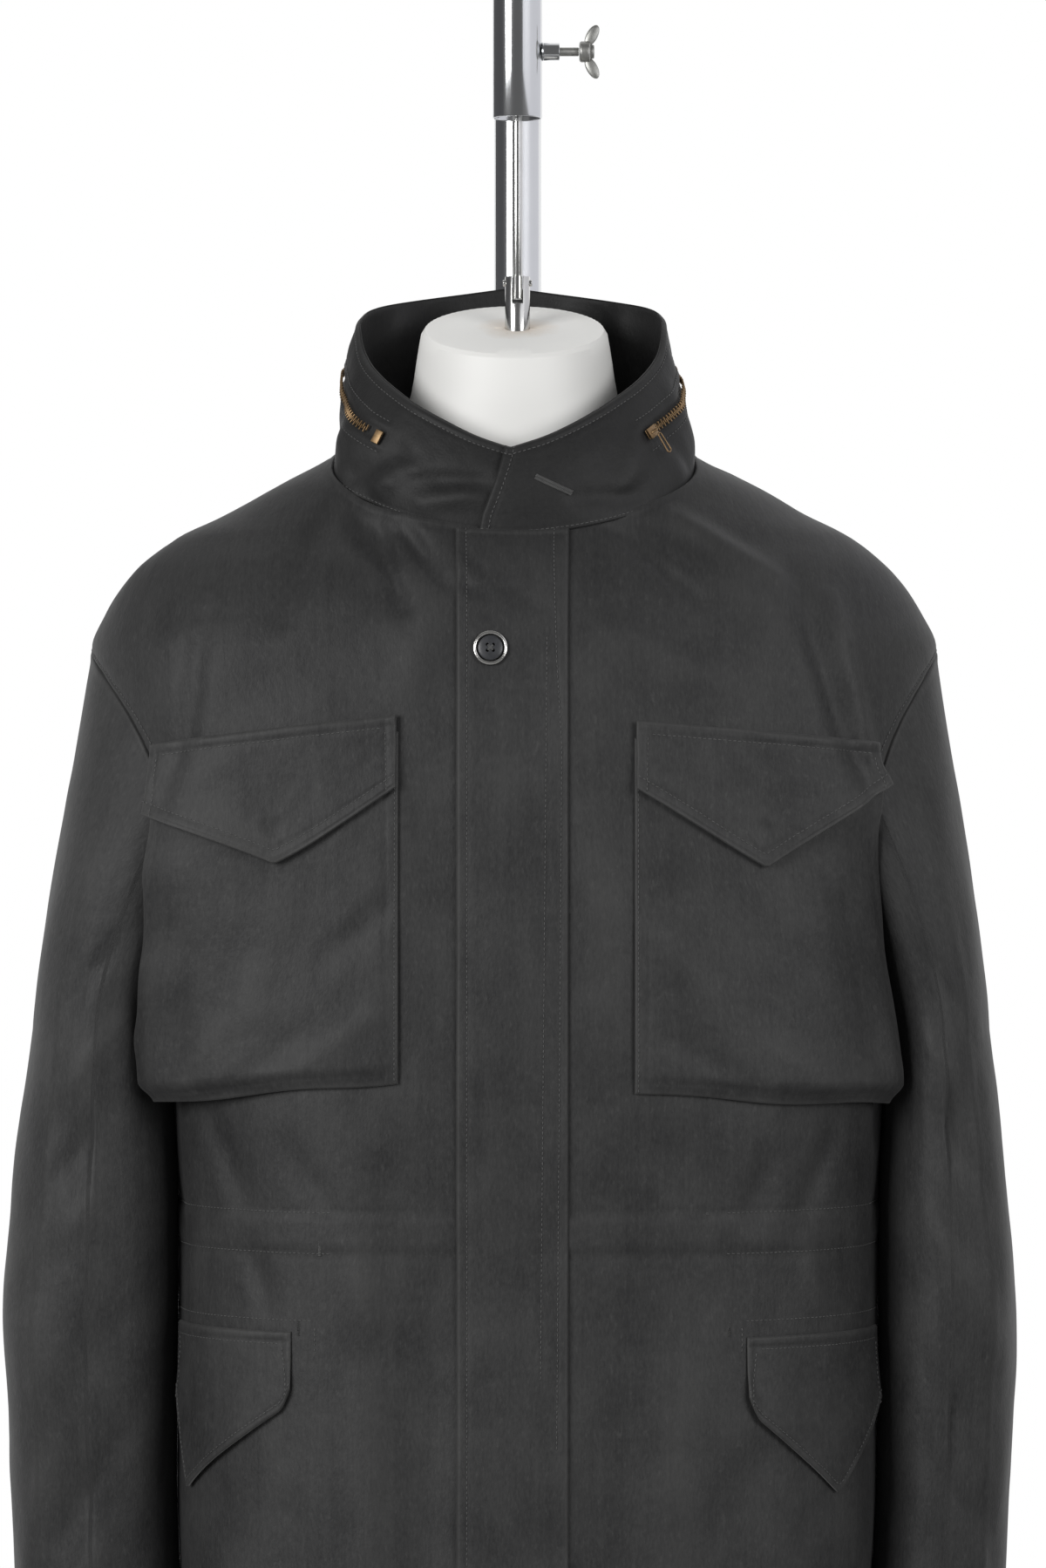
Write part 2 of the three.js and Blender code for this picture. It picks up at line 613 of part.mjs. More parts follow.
// Chest pockets: a patch that stands off the chest at its lower outer corner, with a pointed flap
const chestPockets = {
  left: {
    side: -1, inner: { x: -70, topZ: 1240, bottomZ: 1026 }, outerTopZ: 1226, outerBottomZ: 1011,
    flapInnerTop: 1250, flapOuterTop: 1233, flapPoint: 1160, flapInnerEnd: 1206, flapOuterEnd: 1193,
    edge: [
      { z: 1000, turn: 0.8, flare: 15, lift: 0 },
      { z: 1050, turn: 0.79, flare: 17, lift: 2 },
      { z: 1100, turn: 0.75, flare: 22, lift: 6 },
      { z: 1150, turn: 0.71, flare: 20, lift: 8 },
      { z: 1190, turn: 0.7, flare: 8, lift: 5 },
      { z: 1210, turn: 0.7, flare: 5, lift: 3 },
      { z: 1226, turn: 0.7, flare: 2, lift: 1 },
      { z: 1240, turn: 0.7, flare: 0, lift: 0 },
    ],
  },
  right: {
    side: 1, inner: { x: 73, topZ: 1236, bottomZ: 1020 }, outerTopZ: 1226, outerBottomZ: 1010,
    flapInnerTop: 1246, flapOuterTop: 1234, flapPoint: 1157, flapInnerEnd: 1205, flapOuterEnd: 1209,
    edge: [
      { z: 1000, turn: 0.8, flare: 6.5, lift: 0 },
      { z: 1055, turn: 0.8, flare: 5.5, lift: 0 },
      { z: 1120, turn: 0.77, flare: 1, lift: 2 },
      { z: 1190, turn: 0.7, flare: 2, lift: 2 },
      { z: 1210, turn: 0.7, flare: 2, lift: 1 },
      { z: 1226, turn: 0.69, flare: 0, lift: 0 },
      { z: 1240, turn: 0.69, flare: 0, lift: 0 },
    ],
  },
};
for (const pocket of Object.values(chestPockets)) {
  pocket.edgeTurn = through(pocket.edge, "z", "turn");
  pocket.edgeFlare = through(pocket.edge, "z", "flare");
  pocket.edgeLift = through(pocket.edge, "z", "lift");
}
const POCKET_STAND = 13;
const POCKET_EDGE = 0.1;
const POCKET_RIM_STAND = 0.1;
const BAG_FROM = 0.25;
const INNER_BAG_SHARE = 0.35;
const FLARE_FROM = 0.35;
const FLAP_LIFT = 2.6;
const INNER_FLAP_LIFT_SHARE = 0.4;
const FLAP_SHARE_OF_POCKET = 0.42;

/** How far the pocket's bag stands off the chest, most near its lower outer corner. */
function pocketStand(across, down) {
  return POCKET_STAND * smooth((down - BAG_FROM) / (1 - BAG_FROM)) * mix(INNER_BAG_SHARE, 1, smooth(across * 1.2));
}

/** How far the pocket and its flap reach sideways over the sleeve, and how far they lift there. */
const beyond = (across) => smooth((across - FLARE_FROM) / (1 - FLARE_FROM));
const pocketFlare = (pocket) => (across, z) => pocket.side * pocket.edgeFlare(z) * beyond(across);

/** The turn at a share of the way from the pocket's inner edge to its outer edge. */
function pocketTurn(pocket, inset, across, z) {
  const inner = Math.abs(turnAtX(pocket.inner.x + pocket.side * inset, z));
  return pocket.side * mix(inner, pocket.edgeTurn(z), across);
}

function chestPocket(pocket) {
  const place = (u, v) => {
    const top = mix(pocket.inner.topZ, pocket.outerTopZ, u);
    const bottom = mix(pocket.inner.bottomZ, pocket.outerBottomZ, u);
    const z = mix(top, bottom, v);
    return [pocketTurn(pocket, 0, u, z), z];
  };
  const rise = (t) => smooth(t / POCKET_EDGE);
  const low = (v) => (v < 0.5 ? 1 : mix(POCKET_RIM_STAND, 1, rise(1 - v)));
  const stand = (u, v) => LAID_ON + pocketStand(u, v) * mix(POCKET_RIM_STAND, 1, rise(u)) * low(v);
  const flare = pocketFlare(pocket);
  const spaced = [0, 0.05, 0.1, 0.25, 0.4, 0.55, 0.7, 0.82, 0.9, 0.95, 1];
  const layer = (extra) =>
    gridOf(spaced, spaced, (u, v) => {
      const [turn, z] = place(u, v);
      const point = bodyPoint(turn, z, stand(u, v) + pocket.edgeLift(z) * beyond(u) + extra);
      point.x += flare(u, z);
      return point;
    });
  return wall(layer(CLOTH), layer(0));
}

function chestFlap(pocket) {
  const place = (u, v) => {
    const top = mix(pocket.flapInnerTop, pocket.flapOuterTop, u);
    const end = mix(pocket.flapInnerEnd, pocket.flapOuterEnd, u);
    const point = pocket.flapPoint - end;
    const z = mix(top, end + point * (1 - Math.abs(2 * u - 1)), v);
    return [pocketTurn(pocket, 1, u, z), z];
  };
  const out = (u, v, z) =>
    2 * LAID_ON + CLOTH + pocketStand(u, FLAP_SHARE_OF_POCKET * v) + FLAP_LIFT * v * v * mix(INNER_FLAP_LIFT_SHARE, 1, u)
    + pocket.edgeLift(z) * beyond(u);
  return clothOn(place, 10, 4, out, CLOTH, pocketFlare(pocket));
}

// Hip pocket flaps, which wrap round to the side seam
const hipFlaps = {
  left: { side: -1, innerX: -134.6, outerTurn: 0.87, topZ: 874, endZ: 830, pointZ: 772, pointShare: 0.79 },
  right: { side: 1, innerX: 140.5, outerTurn: 0.87, topZ: 871, endZ: 826, pointZ: 772, pointShare: 0.54 },
};
const HIP_CORNER = 0.07;
const HIP_CORNER_RISE = 9;
const HIP_LIFT = 1.5;
function hipFlap(flap) {
  const place = (u, v) => {
    const down = u < flap.pointShare ? u / flap.pointShare : (1 - u) / (1 - flap.pointShare);
    const corner = clamp01(1 - u / HIP_CORNER) ** 2 * HIP_CORNER_RISE;
    const z = mix(flap.topZ, mix(flap.endZ, flap.pointZ, down) + corner, v);
    return [flap.side * mix(Math.abs(turnAtX(flap.innerX, z)), flap.outerTurn, u), z];
  };
  return clothOn(place, 16, 4, (u, v) => LAID_ON + HIP_LIFT * v * v, CLOTH);
}

/** A closed mesh as a solid that can be cut or joined. */
function solidOf(geometry) {
  const bare = geometry.clone();
  bare.deleteAttribute("normal");
  bare.deleteAttribute("uv");
  const merged = mergeVertices(bare, 1e-4);
  return new wasm.Manifold(new wasm.Mesh({
    numProp: 3,
    vertProperties: new Float32Array(merged.attributes.position.array),
    triVerts: new Uint32Array(merged.index.array),
  }));
}

function geometryOf(solid) {
  const mesh = solid.getMesh();
  const geometry = new THREE.BufferGeometry();
  geometry.setAttribute("position", new THREE.BufferAttribute(new Float32Array(mesh.vertProperties), 3));
  geometry.setIndex(new THREE.BufferAttribute(new Uint32Array(mesh.triVerts), 1));
  geometry.computeVertexNormals();
  return geometry;
}

// The display torso: level sections up to the neck, and a cap tilted to the front
const torsoSections = [
  { z: 730, half: 150, front: 92, back: 88 },
  { z: 738, half: 166, front: 104, back: 98 },
  { z: 860, half: 178, front: 112, back: 104 },
  { z: 1000, half: 160, front: 100, back: 92 },
  { z: 1130, half: 176, front: 112, back: 104 },
  { z: 1230, half: 186, front: 114, back: 108 },
  { z: 1300, half: 188, front: 106, back: 104 },
  { z: 1345, half: 191, front: 88, back: 92 },
  { z: 1372, half: 176, front: 76, back: 84 },
  { z: 1392, half: 152.2, front: 68, back: 76 },
  { z: 1409, half: 119.2, front: 61.5, back: 68 },
  { z: 1420, half: 90, front: 62, back: 66 },
  { z: 1434, half: 72, front: 61, back: 65 },
  { z: 1454, half: NECK_RADIUS, front: 61, back: 62 },
];
function torso() {
  const around = steps(36, 0, 2 * Math.PI).slice(0, -1);
  const ring = (row, tilt) => around.map((a) => {
    const depth = Math.cos(a) > 0 ? row.front : row.back;
    const radius = sectionRadius(a, row.half, depth, 2.15);
    const y = -radius * Math.cos(a);
    return new THREE.Vector3(radius * Math.sin(a), y, row.z + Math.tan(radians(tilt)) * y);
  });
  const rings = torsoSections.map((row) => ring(row, 0));
  rings.push(ring({ z: 1474, half: 62, front: 59, back: 60 }, CAP_TILT * 0.6));
  rings.push(ring({ z: CAP_Z, half: CAP_RADIUS, front: CAP_RADIUS, back: CAP_RADIUS }, CAP_TILT));
  const points = rings.flat();
  const count = around.length;
  const triangles = [];
  for (let r = 0; r < rings.length - 1; r += 1) {
    for (let c = 0; c < count; c += 1) {
      const [a, b] = [r * count + c, r * count + ((c + 1) % count)];
      triangles.push(a, b, b + count, a, b + count, a + count);
    }
  }
  const centreOf = (row) => row.reduce((sum, p) => sum.add(p), new THREE.Vector3()).divideScalar(count);
  const foot = points.push(centreOf(rings[0])) - 1;
  const cap = points.push(centreOf(rings[rings.length - 1])) - 1;
  const top = (rings.length - 1) * count;
  for (let c = 0; c < count; c += 1) {
    const next = (c + 1) % count;
    triangles.push(foot, next, c, cap, top + c, top + next);
  }
  return closed(points, triangles);
}

// The stand
const pipe = (radius, bore, from, to) =>
  lathed([[bore, from], [radius, from], [radius, to], [bore, to], [bore, from]], TUBE_SIDES)
    .rotateX(Math.PI / 2);
const rod = (radius, from, to, sides = 16) =>
  lathed([[0, from], [radius, from], [radius, to], [0, to]], sides).rotateX(Math.PI / 2);
const alongX = (geometry) => geometry.rotateY(Math.PI / 2);
const TUBE_BORE = TUBE_RADIUS - TUBE_WALL;

function base() {
  return plate(roundedOutline(BASE_WIDTH, BASE_DEPTH, 45), 0, BASE_THICKNESS)
    .translate(STAND_X, BASE_CENTRE_Y, 0);
}

function crook() {
  const around = steps(TUBE_SIDES, 0, 2 * Math.PI).slice(0, -1);
  const sweep = COLUMN_Y / 2;
  const rings = (radius) => steps(12, 0, Math.PI).map((bend) =>
    around.map((a) => {
      const reach = sweep + radius * Math.cos(a);
      return new THREE.Vector3(
        STAND_X + radius * Math.sin(a), sweep + reach * Math.cos(bend), BEND_Z + reach * Math.sin(bend));
    }));
  return wall(rings(TUBE_RADIUS), rings(TUBE_BORE), true);
}

const screwClearance = () =>
  alongX(rod(SCREW_RADIUS + SEAM, 1, 60)).translate(STAND_X, 0, SCREW_Z);
const cutBy = (geometry, cutter) => geometryOf(solidOf(geometry).subtract(solidOf(cutter)));

const hangTube = () =>
  cutBy(pipe(TUBE_RADIUS, TUBE_BORE, HANG_TUBE_END_Z, BEND_Z - SEAM).translate(STAND_X, 0, 0), screwClearance());
const hangBush = () =>
  cutBy(pipe(TUBE_BORE - SEAM, ROD_RADIUS + SEAM, SCREW_Z - 20, SCREW_Z + 20).translate(STAND_X, 0, 0),
    screwClearance());
const clampBoss = () =>
  alongX(lathed([[SCREW_RADIUS + SEAM, TUBE_RADIUS + SEAM], [BOSS_RADIUS, TUBE_RADIUS + SEAM],
    [BOSS_RADIUS, 26.6], [SCREW_RADIUS + SEAM, 26.6], [SCREW_RADIUS + SEAM, TUBE_RADIUS + SEAM]], 20)
    .rotateX(Math.PI / 2)).translate(STAND_X, 0, SCREW_Z);
const SCREW_TIP = ROD_RADIUS + SEAM;
const HUB_FROM = 37;
const HUB_TO = 46;
const clampScrew = () =>
  alongX(rod(SCREW_RADIUS, SCREW_TIP, HUB_FROM - SEAM)).translate(STAND_X, 0, SCREW_Z);

function wingHead() {
  const hub = alongX(rod(7, HUB_FROM, HUB_TO, 24));
  const wing = new THREE.Shape();
  wing.moveTo(HUB_FROM + 1, 3);
  wing.bezierCurveTo(HUB_FROM + 2, 9, HUB_FROM + 1, 11, HUB_FROM + 3, 14);
  wing.bezierCurveTo(HUB_FROM + 5, 16.5, HUB_TO + 5, 16, HUB_TO + 5, 13);
  wing.bezierCurveTo(HUB_TO + 5, 10, HUB_TO - 1, 8, HUB_TO - 1, 3);
  const ears = [1, -1].map((way) => {
    const ear = plate(wing, -1.7, 1.7, 5).rotateX(Math.PI / 2);
    return way > 0 ? ear : ear.rotateX(Math.PI);
  });
  const joined = solidOf(hub).add(solidOf(ears[0])).add(solidOf(ears[1]));
  return geometryOf(joined).translate(STAND_X, 0, SCREW_Z);
}

const ROD_FOOT_Z = 1514;
const ROD_TOP_Z = 1712;
const hangRod = () => rod(ROD_RADIUS, ROD_FOOT_Z, ROD_TOP_Z).translate(STAND_X, 0, 0);
function neckSocket() {
  const body = rod(SOCKET_RADIUS, CAP_Z - 9, SOCKET_TOP_Z, 24);
  const slot = new THREE.BoxGeometry(2 * (ROD_RADIUS + SEAM), 40, 40)
    .translate(0, 0, SLOT_FLOOR_Z + 20);
  return geometryOf(solidOf(body).subtract(solidOf(slot))).translate(STAND_X, 0, 0);
}
/** The torso with a well for the socket's foot. */
const torsoWithWell = () =>
  cutBy(torso(), rod(SOCKET_RADIUS + SEAM, CAP_Z - 9 - SEAM, CAP_Z + 40, 24).translate(STAND_X, 0, 0));

const finishes = {
  cloth: { color: 0x3b3b3c, roughness: 0.78, metalness: 0 },
  brass: { color: 0x8a7350, roughness: 0.4, metalness: 1 },
  chrome: { color: 0xc9ccd0, roughness: 0.12, metalness: 1 },
  zinc: { color: 0x8d8c88, roughness: 0.45, metalness: 1 },
  ring: { color: 0xb9babb, roughness: 0.3, metalness: 1 },
  horn: { color: 0x222426, roughness: 0.35, metalness: 0 },
  form: { color: 0xefeeea, roughness: 0.5, metalness: 0 },
  steel: { color: 0xb4b7ba, roughness: 0.3, metalness: 1 },
};

const pieces = {
  stand_base: [base, "steel"],
  stand_column: [() => pipe(TUBE_RADIUS, TUBE_BORE, BASE_THICKNESS + SEAM, BEND_Z - SEAM)
    .translate(STAND_X, COLUMN_Y, 0), "chrome"],
  stand_crook: [crook, "chrome"],
  hang_tube: [hangTube, "chrome"],
  hang_bush: [hangBush, "zinc"],
  clamp_boss: [clampBoss, "chrome"],
  clamp_screw: [clampScrew, "zinc"],
  wing_head: [wingHead, "zinc"],
  hang_rod: [hangRod, "steel"],
  neck_socket: [neckSocket, "steel"],
  display_torso: [torsoWithWell, "form"],
  front_left: [() => frontPanel(-1), "cloth"],
  front_right: [() => frontPanel(1), "cloth"],
  back: [backPanel, "cloth"],
  sleeve_left: [() => sleeve(SLEEVE_LEFT), "cloth"],
  sleeve_right: [() => sleeve(SLEEVE_RIGHT), "cloth"],
  collar: [collar, "cloth"],
  fly: [fly, "cloth"],
  chest_pocket_left: [() => chestPocket(chestPockets.left), "cloth"],
  chest_pocket_right: [() => chestPocket(chestPockets.right), "cloth"],
  chest_flap_left: [() => chestFlap(chestPockets.left), "cloth"],
  chest_flap_right: [() => chestFlap(chestPockets.right), "cloth"],
  hip_flap_left: [() => hipFlap(hipFlaps.left), "cloth"],
  hip_flap_right: [() => hipFlap(hipFlaps.right), "cloth"],
  collar_zip: [collarZip, "brass"],
  zip_stop: [zipStop, "brass"],
  zip_slider: [zipSlider, "brass"],
  zip_pull: [zipPull, "brass"],
  button_ring: [buttonRing, "ring"],
  button_disc: [buttonDisc, "horn"],
};

const jacketOnStand = new THREE.Group();
for (const [name, [make, finish]] of Object.entries(pieces)) {
  const mesh = new THREE.Mesh(make(), new THREE.MeshStandardMaterial(finishes[finish]));
  mesh.name = name;
  jacketOnStand.add(mesh);
}

// The pull tab's hinge, in the group's own frame
const pullFrame = collarFrame(ZIP_SLIDER_ANGLE, ZIP_SHARE);
jacketOnStand.userData.pullHinge = {
  pivot: PULL_PIVOT.clone().applyMatrix4(pullFrame),
  axis: new THREE.Vector3().setFromMatrixColumn(pullFrame, 0),
};

export default jacketOnStand;
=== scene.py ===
# %% [markdown]
# # A field jacket on a display torso
# A dark, washed field jacket stands on a limbless white torso, which hangs from a cane-shaped chrome stand.
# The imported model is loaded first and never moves. Every piece of cloth is then made again as a thin, fine
# wall on the form of its solid, and the hardware gets its small shapes and finishes.

# %% Load the frame
import math

import bpy
import numpy as np
from mathutils import Matrix, Vector


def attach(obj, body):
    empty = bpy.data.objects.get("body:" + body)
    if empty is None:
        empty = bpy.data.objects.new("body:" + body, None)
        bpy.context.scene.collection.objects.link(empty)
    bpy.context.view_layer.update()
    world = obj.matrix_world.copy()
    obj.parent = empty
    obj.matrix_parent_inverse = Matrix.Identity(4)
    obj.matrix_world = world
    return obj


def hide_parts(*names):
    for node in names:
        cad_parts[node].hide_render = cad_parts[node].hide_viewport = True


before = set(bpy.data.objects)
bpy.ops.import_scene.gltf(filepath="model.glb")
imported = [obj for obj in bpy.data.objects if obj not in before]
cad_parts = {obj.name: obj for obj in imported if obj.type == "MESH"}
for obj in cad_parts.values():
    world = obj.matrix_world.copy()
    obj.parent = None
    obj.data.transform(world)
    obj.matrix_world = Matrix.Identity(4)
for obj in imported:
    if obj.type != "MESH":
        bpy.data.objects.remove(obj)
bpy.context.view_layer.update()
JACKET = "jacket_form"

# %% [markdown]
# ## Camera, floor and light
# The photograph looks level at the middle of the jacket from about three and a half metres. The picture is
# taller than it is wide, so Blender measures the lens against the picture's height. A product photographer
# puts a white backdrop behind dark cloth, keeps the room on the camera's side dim, and lights it with large
# soft boxes at both sides. The backdrop then brightens the outer edges, and the tubes reflect the dim room
# in their middle. A plain white world would be quicker, but it lights every side alike and hides the creases.

# %% Camera
MM = 0.001
EYE = (5.5 * MM, -3.43, 1.208)
VIEW_HEIGHT = 0.98945
SENSOR = 36
camera_data = bpy.data.cameras.new("camera")
camera_data.sensor_width = SENSOR
camera_data.lens = SENSOR * abs(EYE[1]) / VIEW_HEIGHT
camera = bpy.data.objects.new("camera", camera_data)
camera.location = EYE
camera.rotation_euler = (math.radians(90), 0, 0)
bpy.context.collection.objects.link(camera)
bpy.context.scene.camera = camera
print("lens", round(camera_data.lens, 1), "mm")

# %% World, lights and floor
ROOM_LIGHT = 0.13
BACKDROP_LIGHT = 1.0
world = bpy.data.worlds.new("studio")
bpy.context.scene.world = world
world.use_nodes = True
bpy.context.scene.view_settings.view_transform = "Standard"


def light_room(tree):
    """White behind the jacket, and a dim room on the camera's side, by the direction of a ray."""
    direction = tree.nodes.new("ShaderNodeTexCoord")
    parts = tree.nodes.new("ShaderNodeSeparateXYZ")
    blend = tree.nodes.new("ShaderNodeMapRange")
    blend.interpolation_type = "SMOOTHSTEP"
    ends = {"From Min": -0.25, "From Max": 0.6, "To Min": ROOM_LIGHT, "To Max": BACKDROP_LIGHT}
    for socket, value in ends.items():
        blend.inputs[socket].default_value = value
    tree.links.new(direction.outputs["Generated"], parts.inputs["Vector"])
    tree.links.new(parts.outputs["Y"], blend.inputs["Value"])
    tree.links.new(blend.outputs["Result"], tree.nodes["Background"].inputs["Color"])
    tree.nodes["Background"].inputs["Strength"].default_value = 1.0


def soft_box(name, place, aim, size, power):
    """A square area light that looks at a point."""
    data = bpy.data.lights.new(name, "AREA")
    data.size = size
    data.energy = power
    light = bpy.data.objects.new(name, data)
    light.location = place
    light.rotation_euler = (Vector(aim) - Vector(place)).to_track_quat("-Z", "Y").to_euler()
    bpy.context.collection.objects.link(light)


light_room(world.node_tree)
CHEST = (0, 0, 1.15)
soft_box("key", (-2.4, -2.6, 2.0), CHEST, 1.7, 82)
soft_box("fill", (2.3, -2.6, 1.9), CHEST, 1.5, 46)

FLOOR_RADIUS = 2.2
below_base = (0, 0, -0.0005)
bpy.ops.mesh.primitive_circle_add(vertices=96, radius=FLOOR_RADIUS, fill_type="NGON", location=below_base)
floor = bpy.context.object
floor.name = "studio_floor"
paint = bpy.data.materials.new("dull floor")
paint.use_nodes = True
paint.node_tree.nodes["Principled BSDF"].inputs["Base Color"].default_value = (0.3, 0.3, 0.3, 1)
floor.data.materials.append(paint)
CARD_HEIGHT = 1.72
CARD_SIZE = 0.46


def card(name, x, low_y, high_y, grey):
    """An upright card beside the stand's top, which only the shiny tubes reflect."""
    middle = (x, (low_y + high_y) / 2, CARD_HEIGHT)
    bpy.ops.mesh.primitive_plane_add(size=1, location=middle, rotation=(0, math.pi / 2, 0))
    board = bpy.context.object
    board.name = name
    board.scale = (CARD_SIZE, high_y - low_y, 1)
    glow = bpy.data.materials.new(name)
    glow.use_nodes = True
    shader = glow.node_tree.nodes["Principled BSDF"]
    shader.inputs["Base Color"].default_value = (0, 0, 0, 1)
    shader.inputs["Emission Color"].default_value = (grey, grey, grey * 1.05, 1)
    shader.inputs["Emission Strength"].default_value = 1.0
    board.data.materials.append(glow)
    board.visible_diffuse = False
    board.visible_camera = False
    board.visible_shadow = False


card("dark card", -0.5, -0.22, 0.75, 0.06)
card("pale card", 0.5, -1.1, 0.5, 0.72)
print("2 soft boxes and a floor", FLOOR_RADIUS, "m in radius")

# %% [markdown]
# ## Shader maths in plain expressions
# Node graphs are easier to read as formulas. `Value` wraps the output of a node, and its operators add Math
# nodes, so `0.3 + mask * 0.5` builds a small graph. Everything else comes from one method, `Graph.node`.


# %% A small language for materials
class Value:
    """The output socket of a node, which can be added, multiplied and so on."""

    def __init__(self, graph, socket):
        self.graph = graph
        self.socket = socket

    def _math(self, operation, first, second):
        node = self.graph.node("ShaderNodeMath", {"operation": operation}, {0: first, 1: second})
        return node["Value"]

    def __add__(self, other):
        return self._math("ADD", self, other)

    __radd__ = __add__

    def __mul__(self, other):
        return self._math("MULTIPLY", self, other)

    __rmul__ = __mul__

    def __sub__(self, other):
        return self._math("SUBTRACT", self, other)


class Outputs(dict):
    """A node's outputs by name."""


class Graph:
    """A material and a short way to add nodes to it."""

    def __init__(self, name):
        self.material = bpy.data.materials.new(name)
        self.material.use_nodes = True
        self.tree = self.material.node_tree
        self.shader = self.tree.nodes["Principled BSDF"]

    def node(self, kind, settings=None, inputs=None):
        """Adds a node: its settings first, then a value or a link for each socket named."""
        node = self.tree.nodes.new(kind)
        for key, value in (settings or {}).items():
            if key == "stops":
                ramp = node.color_ramp.elements
                while len(ramp) < len(value):
                    ramp.new(0.5)
                for element, (place, grey) in zip(ramp, value):
                    element.position = place
                    element.color = (grey, grey, grey, 1)
            else:
                setattr(node, key, value)
        for key, value in (inputs or {}).items():
            if isinstance(value, Value):
                self.tree.links.new(value.socket, node.inputs[key])
            else:
                node.inputs[key].default_value = value
        return Outputs({out.name: Value(self, out) for out in node.outputs if out.enabled})

    def set(self, **sockets):
        """Sets or links the shader's own sockets, such as Base_Color."""
        for key, value in sockets.items():
            socket = self.shader.inputs[key.replace("_", " ")]
            if isinstance(value, Value):
                self.tree.links.new(value.socket, socket)
            else:
                socket.default_value = value

    def place(self, scale=(1, 1, 1), source="UV"):
        """Coordinates on the piece, stretched; UV is in metres of cloth."""
        coordinates = self.node("ShaderNodeTexCoord")[source]
        return self.node("ShaderNodeMapping", {}, {"Vector": coordinates, "Scale": scale})["Vector"]

    def noise(self, vector, scale, detail=3, roughness=0.55):
        settings = {"noise_dimensions": "3D"}
        inputs = {"Vector": vector, "Scale": scale, "Detail": detail, "Roughness": roughness}
        return self.node("ShaderNodeTexNoise", settings, inputs)["Fac"]

    def ramp(self, value, *stops):
        return self.node("ShaderNodeValToRGB", {"stops": stops}, {"Fac": value})["Color"]

    def mix(self, share, first, second):
        node = self.tree.nodes.new("ShaderNodeMix")
        node.data_type = "RGBA"
        for socket, value in ((node.inputs[0], share), (node.inputs[6], first), (node.inputs[7], second)):
            if isinstance(value, Value):
                self.tree.links.new(value.socket, socket)
            else:
                socket.default_value = value
        return Value(self, node.outputs[2])

    def attribute(self, name):
        return self.node("ShaderNodeAttribute", {"attribute_name": name})["Fac"]

    def bump(self, height, strength, distance):
        inputs = {"Height": height, "Strength": strength, "Distance": distance}
        return self.node("ShaderNodeBump", {}, inputs)["Normal"]


# %% [markdown]
# ## The cut of the jacket as formulas
# A garment on a torso is a tube whose level sections change slowly. Each section is a rounded rectangle, and
# a place on the cloth is given by a turn (0 at the front middle, 1 and -1 at the side seams, 2 at the back)
# and a height. These are the same sizes as the solids', so every fine piece lies on its own solid. Modelling
# each panel by pulling points by hand would also work, but a formula lets pockets, flaps and stitches lie on
# the cloth exactly, wherever it bends.

# %% Sections of the body
HEM_Z = 640
UNDERARM_Z = 1100
SHOULDER_Z = 1293
NECK_FRONT_Z = 1366
NECK_SIDE_Z = 1418
NECK_BACK_Z = 1445
ARMHOLE_REACH = 86
SEAM = 0.3
CLOTH = 1.8

BODY_COLUMNS = ("z", "half", "front", "back", "shift", "power")
BODY_SECTIONS = [
    (640, 212, 133, 123, 7, 2.6),
    (780, 219, 135, 125, 8, 2.6),
    (935, 219, 131, 121, 9, 2.6),
    (1020, 222, 135, 125, 9, 2.6),
    (1100, 222, 137, 127, 9, 2.6),
    (1205, 250, 136, 127, 4, 2.6),
    (1265, 263, 131, 124, 1, 2.6),
    (1293, 266, 127, 121, 0, 2.5),
    (1315, 257, 122, 117, 0, 2.4),
    (1341, 239, 111, 110, 0, 2.3),
    (1362, 214, 97, 103, 0, 2.2),
    (1376, 186, 90, 98, 0, 2.15),
    (1393, 156, 80, 91, 0, 2.1),
    (1418, 110, 68, 82, 0, 2.0),
    (1432, 98, 62, 79, 0, 2.0),
    (1450, 84, 58, 77, 0, 2.0),
]


def mix(a, b, t):
    return a + (b - a) * t


def smooth(t):
    t = np.clip(t, 0, 1)
    return t * t * (3 - 2 * t)


def through(at, value):
    """A curve through a table's rows that never overshoots them."""
    at, value = np.array(at, float), np.array(value, float)
    slope = np.diff(value) / np.diff(at)
    before = np.concatenate([slope[:1], slope])
    after = np.concatenate([slope, slope[-1:]])
    turning = before * after <= 0
    tangent = np.where(turning, 0, 2 * before * after / np.where(turning, 1, before + after))

    def curve(x):
        x = np.clip(x, at[0], at[-1])
        i = np.clip(np.searchsorted(at, x, side="right") - 1, 0, len(at) - 2)
        span = at[i + 1] - at[i]
        t = (x - at[i]) / span
        lift = t * (1 - t) * ((1 - t) * tangent[i] - t * tangent[i + 1])
        return mix(value[i], value[i + 1], smooth(t)) + span * lift

    return curve


def column(rows, names, name):
    k = names.index(name)
    return through([row[0] for row in rows], [row[k] for row in rows])


body_half, body_front, body_back, body_shift, body_power = (
    column(BODY_SECTIONS, BODY_COLUMNS, name) for name in BODY_COLUMNS[1:]
)


def section_radius(angle, half, depth, power):
    """Distance from the axis to a rounded-rectangle section, at an angle from its middle line."""
    total = np.abs(np.sin(angle) / half) ** power + np.abs(np.cos(angle) / depth) ** power
    return total ** (-1 / power)


# %% Arc length round a section, kept as two small tables
LEVEL_STEP = 3.0
LEVELS = np.arange(HEM_Z - 9, NECK_BACK_Z + 12, LEVEL_STEP)
SHARES = np.linspace(0, 1, 97)
ANGLES = np.linspace(0, math.pi / 2, 121)


